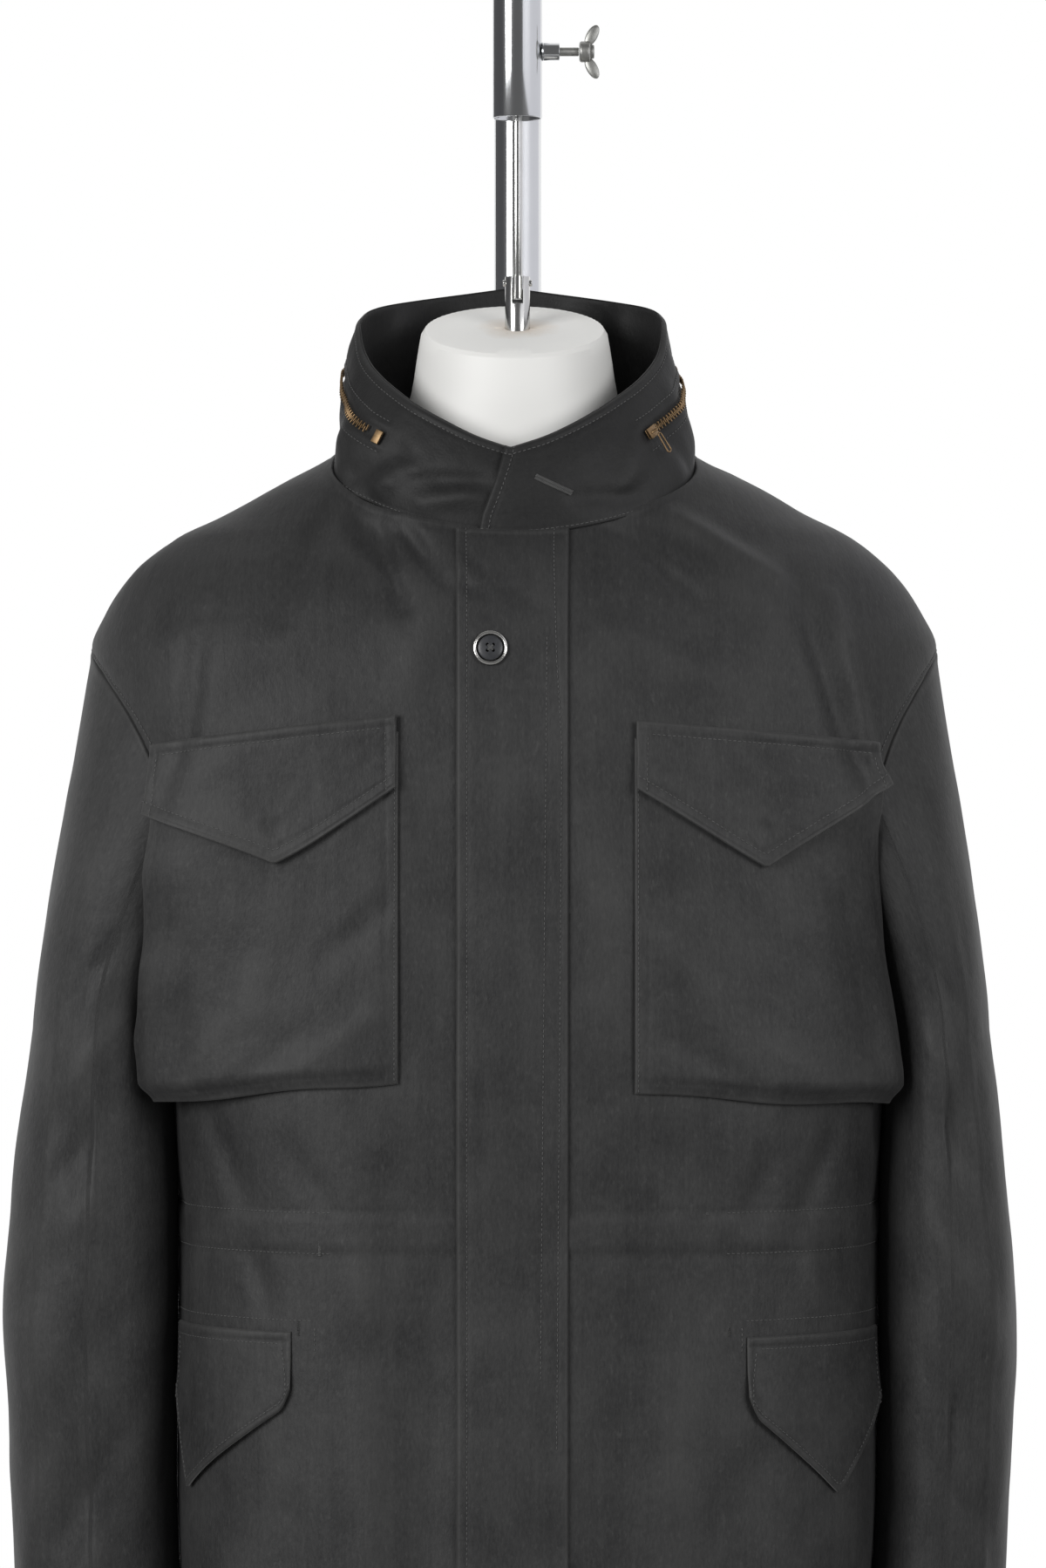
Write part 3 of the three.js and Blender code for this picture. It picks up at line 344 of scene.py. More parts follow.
def arc_tables(depth_of):
    """For each level: the angle at even shares of the arc, the share at even angles, and the length."""
    z = LEVELS[:, None]
    radius = section_radius(ANGLES[None, :], body_half(z), depth_of(z), body_power(z))
    x, y = radius * np.sin(ANGLES), radius * np.cos(ANGLES)
    steps = np.hypot(np.diff(x, axis=1), np.diff(y, axis=1))
    arc = np.concatenate([np.zeros((len(LEVELS), 1)), np.cumsum(steps, axis=1)], axis=1)
    share = arc / arc[:, -1:]
    angle = np.array([np.interp(SHARES, row, ANGLES) for row in share])
    return angle, share, arc[:, -1]


FRONT_ARC = arc_tables(body_front)
BACK_ARC = arc_tables(body_back)


def sample(table, z, column_at):
    """Reads a table of levels between its rows and columns."""
    i = np.clip((z - LEVELS[0]) / LEVEL_STEP, 0, len(LEVELS) - 1.001)
    j = np.clip(column_at * (table.shape[1] - 1), 0, table.shape[1] - 1.001)
    i0, j0 = i.astype(int), j.astype(int)
    di, dj = i - i0, j - j0
    low = mix(table[i0, j0], table[i0, j0 + 1], dj)
    high = mix(table[i0 + 1, j0], table[i0 + 1, j0 + 1], dj)
    return mix(low, high, di)


def arc_length(z, back):
    return np.where(back, np.interp(z, LEVELS, BACK_ARC[2]), np.interp(z, LEVELS, FRONT_ARC[2]))


def bare_body(turn, z):
    """Points of the jacket's body without its folds."""
    turn, z = np.broadcast_arrays(np.asarray(turn, float), np.asarray(z, float))
    turn = (turn + 2) % 4 - 2
    side = np.where(turn < 0, -1, 1)
    back = np.abs(turn) > 1
    share = np.where(back, 2 - np.abs(turn), np.abs(turn))
    angle = np.where(back, sample(BACK_ARC[0], z, share), sample(FRONT_ARC[0], z, share))
    depth = np.where(back, body_back(z), body_front(z))
    radius = section_radius(angle, body_half(z), depth, body_power(z))
    x = body_shift(z) + side * radius * np.sin(angle)
    y = np.where(back, 1, -1) * radius * np.cos(angle)
    return np.stack([x, y, z], axis=-1)


def turn_at_x(x, z):
    """The turn on the front where the cloth has a certain x."""
    x, z = np.broadcast_arrays(np.asarray(x, float), np.asarray(z, float))
    away = np.minimum(np.abs(x - body_shift(z)) / body_half(z), 0.9999)
    y = body_front(z) * (1 - away ** body_power(z)) ** (1 / body_power(z))
    angle = np.arctan2(away * body_half(z), y)
    share = sample(FRONT_ARC[1], z, angle / (math.pi / 2))
    return np.where(x < body_shift(z), -share, share)


def neckline_z(turn):
    share = np.minimum(2, np.abs(turn))
    low = mix(NECK_FRONT_Z, NECK_SIDE_Z, 1 - (1 - np.minimum(share, 1) ** 1.6) ** 1.5)
    high = mix(NECK_SIDE_Z, NECK_BACK_Z, 1 - (2 - share) ** 2)
    return np.where(share > 1, high, low)


print("girth at the chest:", round(2 * float(arc_length(1000.0, False) + arc_length(1000.0, True))), "mm")

# %% [markdown]
# ## Folds and creases
# The few large folds are in the solids too. The fine ones are listed here, as soft troughs and
# ridges with a start, an end, a width and a height, because worn and washed cloth is uneven: no two are
# alike in length or spacing. A little smooth noise keeps the stretches between them from being dead flat.

# %% Large folds, as in the solids
# Each row: from (turn, height) to (turn, height), half width and height, in millimetres
BODY_FOLDS = [
    (-0.44, 1386, -0.24, 1335, 24, -5),
    (0.56, 1300, 0.68, 1130, 40, 4),
    (-0.6, 1300, -0.68, 1140, 40, 4),
    (-0.45, 985, -0.4, 660, 46, 3.5),
    (0.38, 985, 0.45, 660, 44, 3.5),
    (-0.2, 900, -0.22, 650, 42, -3),
    (1.35, 1270, 1.3, 1010, 42, -5),
    (-1.35, 1260, -1.28, 1020, 42, -5),
    (1.62, 900, 1.56, 660, 42, 5),
    (-1.66, 910, -1.6, 660, 42, 5),
    (1.1, 1035, 1.1, 640, 20, 5),
    (-1.1, 1035, -1.1, 640, 20, 5),
]

# Fine creases on the body: from (turn, height) to (turn, height), half width, height, all in millimetres
BODY_CREASES = [
    (-0.40, 1380, -0.22, 1316, 6, -2.6),
    (-0.30, 1372, -0.14, 1330, 5, -2.0),
    (-0.52, 1376, -0.44, 1310, 8, -2.2),
    (0.24, 1372, 0.36, 1322, 6, -2.2),
    (0.40, 1378, 0.56, 1330, 7, 1.8),
    (-0.46, 1380, -0.3, 1348, 9, -2.6),
    (-0.3, 1366, -0.16, 1344, 7, -1.8),
    (-0.36, 1352, -0.2, 1330, 9, 1.3),
    (0.3, 1372, 0.44, 1340, 10, -1.5),
    (0.42, 1360, 0.5, 1310, 12, 1.6),
    (0.58, 1330, 0.66, 1205, 8, -2.4),
    (0.64, 1320, 0.71, 1190, 7, 1.6),
    (-0.6, 1310, -0.66, 1200, 8, -1.8),
    (-0.14, 1330, -0.2, 1270, 13, 1.1),
    (-0.3, 1290, -0.52, 1262, 14, -1.0),
    (0.18, 1300, 0.4, 1270, 15, 1.0),
    (0.2, 1320, 0.34, 1292, 12, -0.9),
    (-0.16, 1200, -0.13, 1060, 16, -1.2),
    (0.14, 1180, 0.17, 1040, 14, 1.1),
    (-0.7, 1000, -0.62, 955, 10, -1.8),
    (-0.5, 985, -0.42, 950, 9, -1.4),
    (-0.3, 978, -0.26, 948, 8, -1.2),
    (-0.6, 925, -0.56, 890, 9, -1.3),
    (-0.36, 925, -0.33, 886, 10, 1.3),
    (0.3, 985, 0.33, 948, 9, -1.3),
    (0.5, 978, 0.47, 946, 10, -1.6),
    (0.66, 990, 0.6, 950, 9, -1.6),
    (0.42, 920, 0.38, 880, 10, -1.3),
    (0.6, 922, 0.63, 890, 9, 1.2),
    (-0.2, 860, -0.24, 660, 16, -1.6),
    (-0.33, 840, -0.3, 650, 14, 1.5),
    (-0.5, 760, -0.44, 650, 15, -1.5),
    (0.16, 880, 0.2, 660, 17, -1.5),
    (0.3, 850, 0.33, 650, 14, 1.4),
    (0.47, 790, 0.42, 650, 15, -1.6),
    (0.72, 1080, 0.78, 1010, 10, 1.4),
    (-0.9, 1085, -0.76, 1040, 10, 1.4),
    (0.92, 1060, 0.84, 990, 9, -1.6),
    (-0.95, 960, -0.84, 930, 10, -1.7),
    (0.95, 965, 0.85, 930, 10, -1.7),
    (1.15, 1180, 1.35, 1120, 13, -2.2),
    (-1.14, 1180, -1.36, 1110, 12, -2.2),
    (1.1, 1120, 1.3, 1060, 12, 1.9),
    (-1.1, 1110, -1.3, 1050, 12, 1.9),
    (1.6, 1340, 1.75, 1290, 14, -1.6),
    (-1.55, 1345, -1.72, 1300, 14, -1.6),
    (1.9, 1200, 1.82, 1050, 17, -1.8),
    (-1.82, 1180, -1.88, 1030, 16, 1.6),
    (1.2, 985, 1.26, 948, 9, -1.5),
    (1.45, 980, 1.42, 946, 10, -1.6),
    (1.68, 985, 1.7, 948, 9, -1.4),
    (-1.25, 980, -1.22, 946, 10, -1.6),
    (-1.5, 985, -1.54, 948, 9, -1.5),
    (-1.76, 978, -1.74, 948, 10, -1.4),
    (1.3, 920, 1.34, 870, 10, 1.5),
    (1.75, 915, 1.72, 860, 10, -1.4),
    (-1.34, 918, -1.38, 872, 10, 1.4),
    (-1.9, 900, -1.86, 700, 16, -1.8),
    (1.85, 880, 1.9, 680, 15, 1.6),
    (1.4, 820, 1.44, 660, 14, -1.7),
    (-1.45, 800, -1.4, 655, 14, -1.7),
    (1.15, 860, 1.12, 680, 14, 1.4),
    (-1.16, 850, -1.12, 670, 14, 1.4),
]

BODY_RELIEF = 1.9


class Noise:
    """Smooth noise from a small fixed lattice, the same on every run."""

    def __init__(self, seed):
        self.lattice = np.random.default_rng(seed).random((64, 64)) * 2 - 1

    def __call__(self, x, y):
        ix, iy = np.floor(x).astype(int), np.floor(y).astype(int)
        tx, ty = smooth(x - ix), smooth(y - iy)
        a = mix(self.lattice[ix % 64, iy % 64], self.lattice[(ix + 1) % 64, iy % 64], tx)
        b = mix(self.lattice[ix % 64, (iy + 1) % 64], self.lattice[(ix + 1) % 64, (iy + 1) % 64], tx)
        return mix(a, b, ty)


soft_noise = Noise(11)
small_noise = Noise(23)


def crease_sum(across, z, rows, arc_of):
    """Adds up creases: each is a soft line with tapering ends."""
    height = np.zeros_like(z)
    for start, from_z, end, to_z, width, lift in rows:
        ax, az = arc_of(start, from_z), from_z
        bx, bz = arc_of(end, to_z), to_z
        length2 = (bx - ax) ** 2 + (bz - az) ** 2
        t = np.clip(((across - ax) * (bx - ax) + (z - az) * (bz - az)) / length2, 0, 1)
        far = np.hypot(across - mix(ax, bx, t), z - mix(az, bz, t)) / width
        height += lift * np.exp(-far * far) * (0.35 + 0.65 * np.sin(math.pi * (0.12 + 0.76 * t)))
    return height


def body_folds(turn, z):
    """The large folds, exactly as the solids have them."""
    back = np.abs(turn) > 1
    height = np.zeros_like(z)
    for start, from_z, end, to_z, width, lift in BODY_FOLDS:
        run = np.clip((z - from_z) / (to_z - from_z), 0, 1)
        middle = mix(start, end, run)
        across = turn * arc_length(z, back) - middle * arc_length(z, np.abs(middle) > 1)
        far = np.hypot(across, z - mix(from_z, to_z, run)) / width
        height += lift * np.exp(-far * far)
    return height


def body_wrinkles(turn, z):
    """Fine creases and unevenness of the body's cloth."""
    back = np.abs(turn) > 1
    across = turn * arc_length(z, back)
    arc_of = lambda t, level: t * float(arc_length(float(level), abs(t) > 1))
    height = BODY_RELIEF * crease_sum(across, z, BODY_CREASES, arc_of)
    height += 0.9 * soft_noise(across / 46 + 7, z / 70 + 3) + 0.28 * small_noise(across / 15, z / 21)
    beside_sleeve = np.exp(-(((np.abs(turn) - 1.0) / 0.13) ** 4)) * smooth((UNDERARM_Z + 20 - z) / 40)
    below_collar = smooth((neckline_z(turn) - z) / 11)
    return height * (1 - 0.85 * beside_sleeve) * below_collar


def body_point(turn, z, out=0.0):
    """Points of the jacket's outer cloth with all its folds, moved out along the cloth's normal."""
    turn, z = np.broadcast_arrays(np.asarray(turn, float), np.asarray(z, float))
    across = bare_body(turn + 0.02, z) - bare_body(turn - 0.02, z)
    up = bare_body(turn, z + 4) - bare_body(turn, z - 4)
    normal = np.cross(across, up)
    normal /= np.linalg.norm(normal, axis=-1, keepdims=True)
    lift = body_folds(turn, z) + body_wrinkles(turn, z) + out
    return bare_body(turn, z) + normal * lift[..., None]


print(len(BODY_FOLDS), "large folds and", len(BODY_CREASES), "creases on the body")

# %% [markdown]
# ## A wall of cloth
# Every sewn piece is a grid of points on its form, with a second layer inside it and edges that turn over
# softly, so that it has the real thickness from both sides. The grid is closer at its borders, where a
# folded edge rounds off and a row of stitches pulls the cloth down. Each point keeps its place on the cloth
# as a UV in metres, and how worn it is as an attribute, for the fabric's material.

# %% Grids and walls
EDGE_STEPS = np.array([0, 0.35, 0.8, 1.5, 2.6, 4.0, 5.2, 6.2, 7.4, 9.2])


def spaced(length, step, low=True, high=True):
    """Shares from 0 to 1 about a step apart, closer at the borders that ask for it."""
    first = EDGE_STEPS if low else np.array([0.0])
    last = length - (EDGE_STEPS[::-1] if high else np.array([0.0]))
    inner = np.linspace(first[-1], last[0], max(2, int(round((last[0] - first[-1]) / step))) + 1)[1:-1]
    return np.concatenate([first, inner, last]) / length


def rounded(distance, thickness):
    """How much of its thickness a folded edge has, at a distance from the edge."""
    t = np.clip(distance / thickness, 0, 1)
    return np.sqrt(1 - (1 - t) ** 2)


def stitched(distance, row=6.2, depth=0.45):
    """The dip of a row of stitches near an edge, and the small roll beside it."""
    roll = 0.45 * np.exp(-(((distance - row * 0.45) / 1.8) ** 2))
    return depth * (roll - np.exp(-(((distance - row) / 1.1) ** 2)))


def make_piece(name, points, faces, uv=None, wear=None, smooth_shading=True):
    """A mesh object from points in millimetres."""
    mesh = bpy.data.meshes.new(name)
    mesh.from_pydata((np.asarray(points) * MM).tolist(), [], faces)
    if uv is not None:
        layer = mesh.uv_layers.new(name="cloth")
        loops = np.zeros(len(mesh.loops), int)
        mesh.loops.foreach_get("vertex_index", loops)
        layer.data.foreach_set("uv", (np.asarray(uv)[loops] * MM).astype(np.float32).ravel())
    if wear is not None:
        attribute = mesh.attributes.new("wear", "FLOAT", "POINT")
        attribute.data.foreach_set("value", np.asarray(wear, np.float32).ravel())
    if smooth_shading:
        mesh.shade_smooth()
    piece = bpy.data.objects.new(name, mesh)
    bpy.context.collection.objects.link(piece)
    return piece


def grid_faces(rows, columns, start, looped, flipped):
    r, c = np.meshgrid(np.arange(rows - 1), np.arange(columns if looped else columns - 1), indexing="ij")
    a = start + r * columns + c
    b = start + r * columns + (c + 1) % columns
    quads = np.stack([a, b, b + columns, a + columns], axis=-1).reshape(-1, 4)
    return (quads[:, ::-1] if flipped else quads).tolist()


def wall(name, outer, inner, uv, wear, looped=False):
    """A closed wall from an outer and an inner grid of points, joined round their edges."""
    rows, columns = outer.shape[:2]
    count = rows * columns
    faces = grid_faces(rows, columns, 0, looped, False) + grid_faces(rows, columns, count, looped, True)
    rim = []
    last = columns if looped else columns - 1
    for c in range(last):
        n = (c + 1) % columns
        rim.append([count + c, count + n, n, c])
        top = (rows - 1) * columns
        rim.append([top + c, top + n, count + top + n, count + top + c])
    if not looped:
        for r in range(rows - 1):
            a, b = r * columns, (r + 1) * columns
            rim.append([count + a, a, b, count + b])
            a, b = a + columns - 1, b + columns - 1
            rim.append([a, count + a, count + b, b])
    points = np.concatenate([outer.reshape(-1, 3), inner.reshape(-1, 3)])
    uvs = np.concatenate([uv.reshape(-1, 2)] * 2)
    worn = np.concatenate([wear.ravel(), wear.ravel() * 0])
    piece = make_piece(name, points, faces + rim, uvs, worn)
    turn_out(piece)
    return piece


def turn_out(piece):
    """Faces of a closed mesh that point in are turned to point out."""
    mesh = piece.data
    mesh.calc_loop_triangles()
    corners = np.zeros(len(mesh.loop_triangles) * 3, int)
    mesh.loop_triangles.foreach_get("vertices", corners)
    points = np.zeros(len(mesh.vertices) * 3)
    mesh.vertices.foreach_get("co", points)
    a, b, c = points.reshape(-1, 3)[corners.reshape(-1, 3)].transpose(1, 0, 2)
    if float((a * np.cross(b, c)).sum()) < 0:
        mesh.flip_normals()


def grid_distance(points):
    """Distance in millimetres from each grid point to the grid's four borders, along its lines."""
    across = np.linalg.norm(np.diff(points, axis=1), axis=2)
    up = np.linalg.norm(np.diff(points, axis=0), axis=2)
    zero_c = np.zeros((points.shape[0], 1))
    zero_r = np.zeros((1, points.shape[1]))
    left = np.concatenate([zero_c, np.cumsum(across, axis=1)], axis=1)
    bottom = np.concatenate([zero_r, np.cumsum(up, axis=0)], axis=0)
    return left, left[:, -1:] - left, bottom, bottom[-1:, :] - bottom


CLOTH_PIECES = {}
SHEETS = []
THREADS = {}


def dress(piece, node, flat, held="hung", area=None, rests_on=()):
    """A finished piece of cloth takes its solid's place, and is noted with its facts in a list."""
    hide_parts(node)
    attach(piece, JACKET)
    CLOTH_PIECES[node] = piece
    SHEETS.append((piece, node, {"flat": flat, "held": held, "area": area, "rests_on": list(rests_on)}))
    print(node, len(piece.data.polygons), "faces")


def sew(node, outer, inner, distance, row, down=False, keep=None):
    """Notes a row of stitches where a distance has a certain value, once per row or once per column."""
    distance = np.broadcast_to(distance, outer.shape[:2])
    keep = np.ones(outer.shape[:2], bool) if keep is None else np.broadcast_to(keep, outer.shape[:2])
    if not down:
        outer, inner = outer.swapaxes(0, 1), inner.swapaxes(0, 1)
        distance, keep = distance.T, keep.T
    off = distance - row
    crossing = off[:, :-1] * off[:, 1:] <= 0
    j = crossing.argmax(axis=1)
    r = np.arange(len(off))
    t = (off[r, j] / (off[r, j] - off[r, j + 1] + 1e-9))[:, None]
    point = mix(outer[r, j], outer[r, j + 1], t)
    normal = point - mix(inner[r, j], inner[r, j + 1], t)
    normal /= np.linalg.norm(normal, axis=1, keepdims=True)
    good = crossing.any(axis=1) & keep[r, j]
    edges = np.flatnonzero(np.diff(np.concatenate([[0], good.astype(int), [0]])))
    for first, last in edges.reshape(-1, 2):
        if last - first > 2:
            THREADS.setdefault(node, []).append((point[first:last], normal[first:last]))


# %% [markdown]
# ## Fronts and back
# The two fronts end at the middle under the fly, and the back is one piece. Beside the armhole each row of
# the grid stops at the sleeve's seam, and above the shoulder the rows fan up to the neckline. The seams
# round over, a row of topstitching runs beside the armhole, and the drawcord's channel round the waist
# stands a little proud between its two rows of stitches.

# %% Body panels
CHANNEL_TOP_Z = 947
CHANNEL_BOTTOM_Z = 922
CHANNEL_FROM_X = 117
HIP_STITCH_Z = 881
HIP_STITCH_X = 130
PANEL_STEP = 3.2


def armhole_z(around):
    return mix(UNDERARM_Z, SHOULDER_Z, (1 + np.sin(around)) / 2)


def panel_reach(z, back):
    """How far round a panel reaches before its side seam or armhole."""
    middle = (SHOULDER_Z + UNDERARM_Z) / 2
    share = (z - middle) / ((SHOULDER_Z - UNDERARM_Z) / 2)
    reach = ARMHOLE_REACH * np.sqrt(np.clip(1 - share * share, 0, 1))
    depth = np.where(back, body_back(z), body_front(z))
    power = body_power(z)
    x = body_half(z) * (1 - (reach / depth) ** power) ** (1 / power)
    angle = np.arctan2(x, reach) / (math.pi / 2)
    found = np.where(back, sample(BACK_ARC[1], z, angle), sample(FRONT_ARC[1], z, angle))
    return np.where(np.abs(share) >= 1, 1.0, found)


def panel_rows(step):
    """Row heights, and how far each row has fanned up to the neckline."""
    below = spaced(UNDERARM_Z - HEM_Z, step, low=True, high=False) * (UNDERARM_Z - HEM_Z) + HEM_Z
    turns = np.linspace(-math.pi / 2, math.pi / 2, int(round((SHOULDER_Z - UNDERARM_Z) * 1.45 / step)))
    beside = armhole_z(turns)[1:]
    fan = spaced(150, step * 1.1, low=False, high=True)[1:]
    z = np.concatenate([below, beside, np.full(len(fan), float(SHOULDER_Z))])
    neck = np.concatenate([np.zeros(len(below) + len(beside)), fan])
    return z[:, None], neck[:, None]


def channel(z):
    """The raised drawcord channel round the waist, with a dip at each row of stitches."""
    inside = smooth((z - CHANNEL_BOTTOM_Z) / 5) * smooth((CHANNEL_TOP_Z - z) / 5)
    rows = np.exp(-(((z - CHANNEL_TOP_Z) / 1.6) ** 2)) + np.exp(-(((z - CHANNEL_BOTTOM_Z) / 1.6) ** 2))
    return 1.0 * inside - 0.5 * rows


def panel(name, node, turns_of, back, step, flat):
    """One body panel as a wall of cloth."""
    z_row, neck = panel_rows(step)
    share = turns_of(step)[None, :]
    end = np.where(neck > 0, 1.0, panel_reach(z_row, back)) - SEAM / 2 / arc_length(z_row, back)
    start = SEAM / 2 / arc_length(z_row, back)
    if back:
        turn = 2 - np.abs(share) * end
        signed = np.where(share < 0, -turn, turn)
    else:
        turn = mix(start, end, np.abs(share))
        signed = turn * np.sign(share[0, -1])
    z = mix(z_row, neckline_z(turn) - SEAM / 2, neck)
    flat_points = bare_body(signed, z)
    left, right, bottom, top = grid_distance(flat_points)
    armhole = np.minimum(left, right) if back else right
    seam = np.minimum(np.minimum(left, right), np.minimum(bottom, top))
    if not back:
        seam = np.minimum(np.minimum(right, left + 9), np.minimum(bottom, top))
    beside_arm = ((z > UNDERARM_Z) & (z < SHOULDER_Z + 4)) * 1.0
    lift = -CLOTH * (1 - rounded(seam, 1.5)) + channel(z)
    lift += stitched(armhole) * beside_arm
    lift += stitched(bottom, row=20, depth=0.4) + stitched(top, row=6, depth=0.3)
    lift += 0.5 * small_noise(z / 9, left / 40) * np.exp(-armhole / 9)
    outer = body_point(signed, z, lift)
    inner = body_point(signed, z, -CLOTH)
    across = signed * arc_length(z, back)
    uv = np.stack([across, z], axis=-1)
    ridges = np.clip(body_wrinkles(signed, z) / 2.5, 0, 1)
    wear = np.clip(np.exp(-seam / 1.6) + 0.4 * ridges, 0, 1)
    piece = wall(name, outer, inner, uv, wear)
    x = outer[..., 0] - body_shift(z)
    if back:
        sew(node, outer, inner, left, 6.2, True, beside_arm > 0)
        sew(node, outer, inner, right, 6.2, True, beside_arm > 0)
    else:
        sew(node, outer, inner, armhole, 6.2, True, beside_arm > 0)
        side = np.sign(share[0, -1])
        sew(node, outer, inner, z, HIP_STITCH_Z, False, (x * side > HIP_STITCH_X) & (z < 900))
        sew(node, outer, inner, x * side, HIP_STITCH_X, True, (z > HIP_STITCH_Z - 22) & (z < HIP_STITCH_Z))
    for level in (CHANNEL_TOP_Z, CHANNEL_BOTTOM_Z):
        sew(node, outer, inner, z, level, False, (np.abs(x) > CHANNEL_FROM_X) | back)
    sew(node, outer, inner, bottom, 20)
    area = float(grid_area(flat_points)) * MM * MM
    dress(piece, node, flat, held="hung", area=round(area, 4), rests_on=["display_torso"])
    return piece


def grid_area(points):
    a = np.diff(points, axis=0)[:, :-1]
    b = np.diff(points, axis=1)[:-1]
    return np.linalg.norm(np.cross(a, b), axis=2).sum()


def front_turns(side):
    return lambda step: spaced(330, step, low=False, high=True) * side + 1e-9 * side


panel("front_left_cloth", "front_left", front_turns(-1), False, PANEL_STEP, (0.33, 0.78))
panel("front_right_cloth", "front_right", front_turns(1), False, PANEL_STEP, (0.33, 0.78))


def back_turns(step):
    half = spaced(330, step, low=False, high=True)
    return np.concatenate([-half[::-1], half[1:]])


panel("back_cloth", "back", back_turns, True, 4.2, (0.66, 0.81))

# %% [markdown]
# ## Sleeves
# A one-piece sleeve starts as the armhole's loop, swings down and becomes a level, slightly flattened tube.
# The pieces have been pressed flat at some time, which left a long soft ridge down the front of each sleeve.
# The inner side hangs in shallow folds, because a straight sleeve has too much cloth there when it hangs.

# %% Sleeve surface
SLEEVE_COLUMNS = ("z", "outer", "depth", "drift")
SLEEVE_SECTIONS = [
    (685, 310, 56, -3),
    (712, 312, 58, -3),
    (793, 315, 64, -4),
    (862, 318, 68, -5),
    (951, 313, 72, -4),
    (1054, 301, 77, 0),
]
SLEEVE_SHIFT = -2.5
SLEEVE_CLEAR = 1.8
SLEEVE_BLEND_Z = 1054
CUFF_Z = 685
SLEEVE_POWER = 2.2
SLEEVE_STEP = 3.6
sleeve_outer, sleeve_depth, sleeve_drift = (
    column(SLEEVE_SECTIONS, SLEEVE_COLUMNS, name) for name in SLEEVE_COLUMNS[1:]
)

# Large folds, as in the solids: side, height, place round the sleeve (0 front, a quarter turn outside)
SLEEVE_FOLDS = [
    (-1, 985, 0.15, 46, -6),
    (-1, 760, -0.35, 60, -7),
    (-1, 870, 0.9, 50, 3),
    (1, 1000, 0.05, 48, -6),
    (1, 900, 0.75, 52, 3),
    (1, 800, -0.25, 55, -5),
    (-1, 980, 3.0, 52, -6),
    (1, 960, 3.2, 52, -6),
]

# Fine creases on a sleeve: from (angle, height) to (angle, height), half width, height
SLEEVE_CREASES = {
    -1: [
        (0.5, 1180, 0.62, 700, 5, 1.0),
        (-0.2, 1120, 0.5, 1060, 10, -2.0),
        (-0.3, 1060, 0.35, 1020, 10, 1.8),
        (-0.3, 1010, 0.6, 950, 11, -2.2),
        (-0.2, 960, 0.3, 925, 9, 1.5),
        (0.2, 930, 0.9, 880, 12, -1.4),
        (-0.5, 880, 0.2, 830, 11, -1.8),
        (-0.4, 800, 0.35, 740, 10, -2.6),
        (-0.3, 750, 0.2, 705, 9, 1.8),
        (0.4, 800, 0.9, 720, 12, 1.4),
        (1.1, 1180, 1.4, 1080, 14, -1.2),
        (1.3, 1000, 1.0, 900, 14, 1.3),
        (1.7, 900, 1.4, 800, 13, -1.3),
        (2.4, 1150, 2.9, 1080, 11, -2.2),
        (2.6, 1080, 3.2, 1020, 11, 1.9),
        (2.5, 1010, 3.4, 960, 11, -2.2),
        (2.7, 900, 3.3, 840, 11, 1.6),
        (2.9, 800, 2.4, 730, 11, -1.8),
        (4.2, 1040, 4.9, 1000, 10, -1.2),
        (4.1, 900, 4.8, 860, 10, 1.2),
    ],
    1: [
        (0.42, 1160, 0.6, 700, 5, 1.1),
        (-0.1, 1100, 0.5, 1050, 10, -1.8),
        (-0.3, 1050, 0.3, 1015, 9, 1.6),
        (-0.2, 1005, 0.5, 960, 11, -2.0),
        (-0.3, 940, 0.2, 900, 10, 1.4),
        (0.3, 900, 0.8, 850, 12, 1.2),
        (-0.4, 850, 0.1, 800, 10, -1.7),
        (-0.3, 790, 0.4, 750, 10, -1.6),
        (0.5, 780, 0.9, 700, 12, -1.3),
        (1.0, 1190, 1.3, 1100, 14, -1.3),
        (1.4, 980, 1.1, 880, 14, -1.2),
        (1.8, 880, 1.5, 780, 13, 1.2),
        (2.5, 1160, 3.0, 1090, 11, 2.0),
        (2.6, 1060, 3.3, 1010, 11, -2.1),
        (2.4, 1000, 3.2, 940, 11, 1.8),
        (2.8, 880, 3.2, 820, 11, -1.6),
        (2.3, 800, 2.9, 740, 11, 1.5),
        (4.3, 1020, 4.9, 980, 10, -1.2),
    ],
}


def round_angle(angle):
    return np.arctan2(np.sin(angle), np.cos(angle))


def sleeve_folds(side, around, z):
    """The large folds, as the solids have them."""
    height = np.zeros_like(z)
    for which, level, middle, width, lift in SLEEVE_FOLDS:
        if which == side:
            across = round_angle(around - middle) * 62
            far = np.hypot(across, z - level - across * 0.5) / width
            height += lift * np.exp(-far * far * 2)
    return height * np.where(np.sin(around) < 0, 0.15, 1)


def sleeve_wrinkles(side, around, z):
    """Fine creases, the pressed ridge and unevenness of a sleeve."""
    height = np.zeros_like(z)
    for turn in (-2 * math.pi, 0, 2 * math.pi):
        arc_of = lambda angle, level: angle * 62.0
        height += crease_sum((around + turn) * 62, z, SLEEVE_CREASES[side], arc_of)
    x, y = 2.4 * np.sin(around) + 5 * side, 2.4 * np.cos(around) + z / 58
    height += 0.8 * soft_noise(x + 9, y) + 0.24 * small_noise(x * 3, z / 20)
    return height * (0.06 + 0.94 * smooth((np.sin(around) + 0.92) / 0.5))


def armhole_point(side, around, out=0.0):
    """A point of the armhole's loop: 0 is its front, a quarter turn its top, half a turn its back."""
    z = armhole_z(around)
    back = np.cos(around) < 0
    reach = panel_reach(z, back) + SEAM / 2 / arc_length(z, back)
    turn = np.where(back, 2 - reach, reach)
    return body_point(side * turn, z, out)


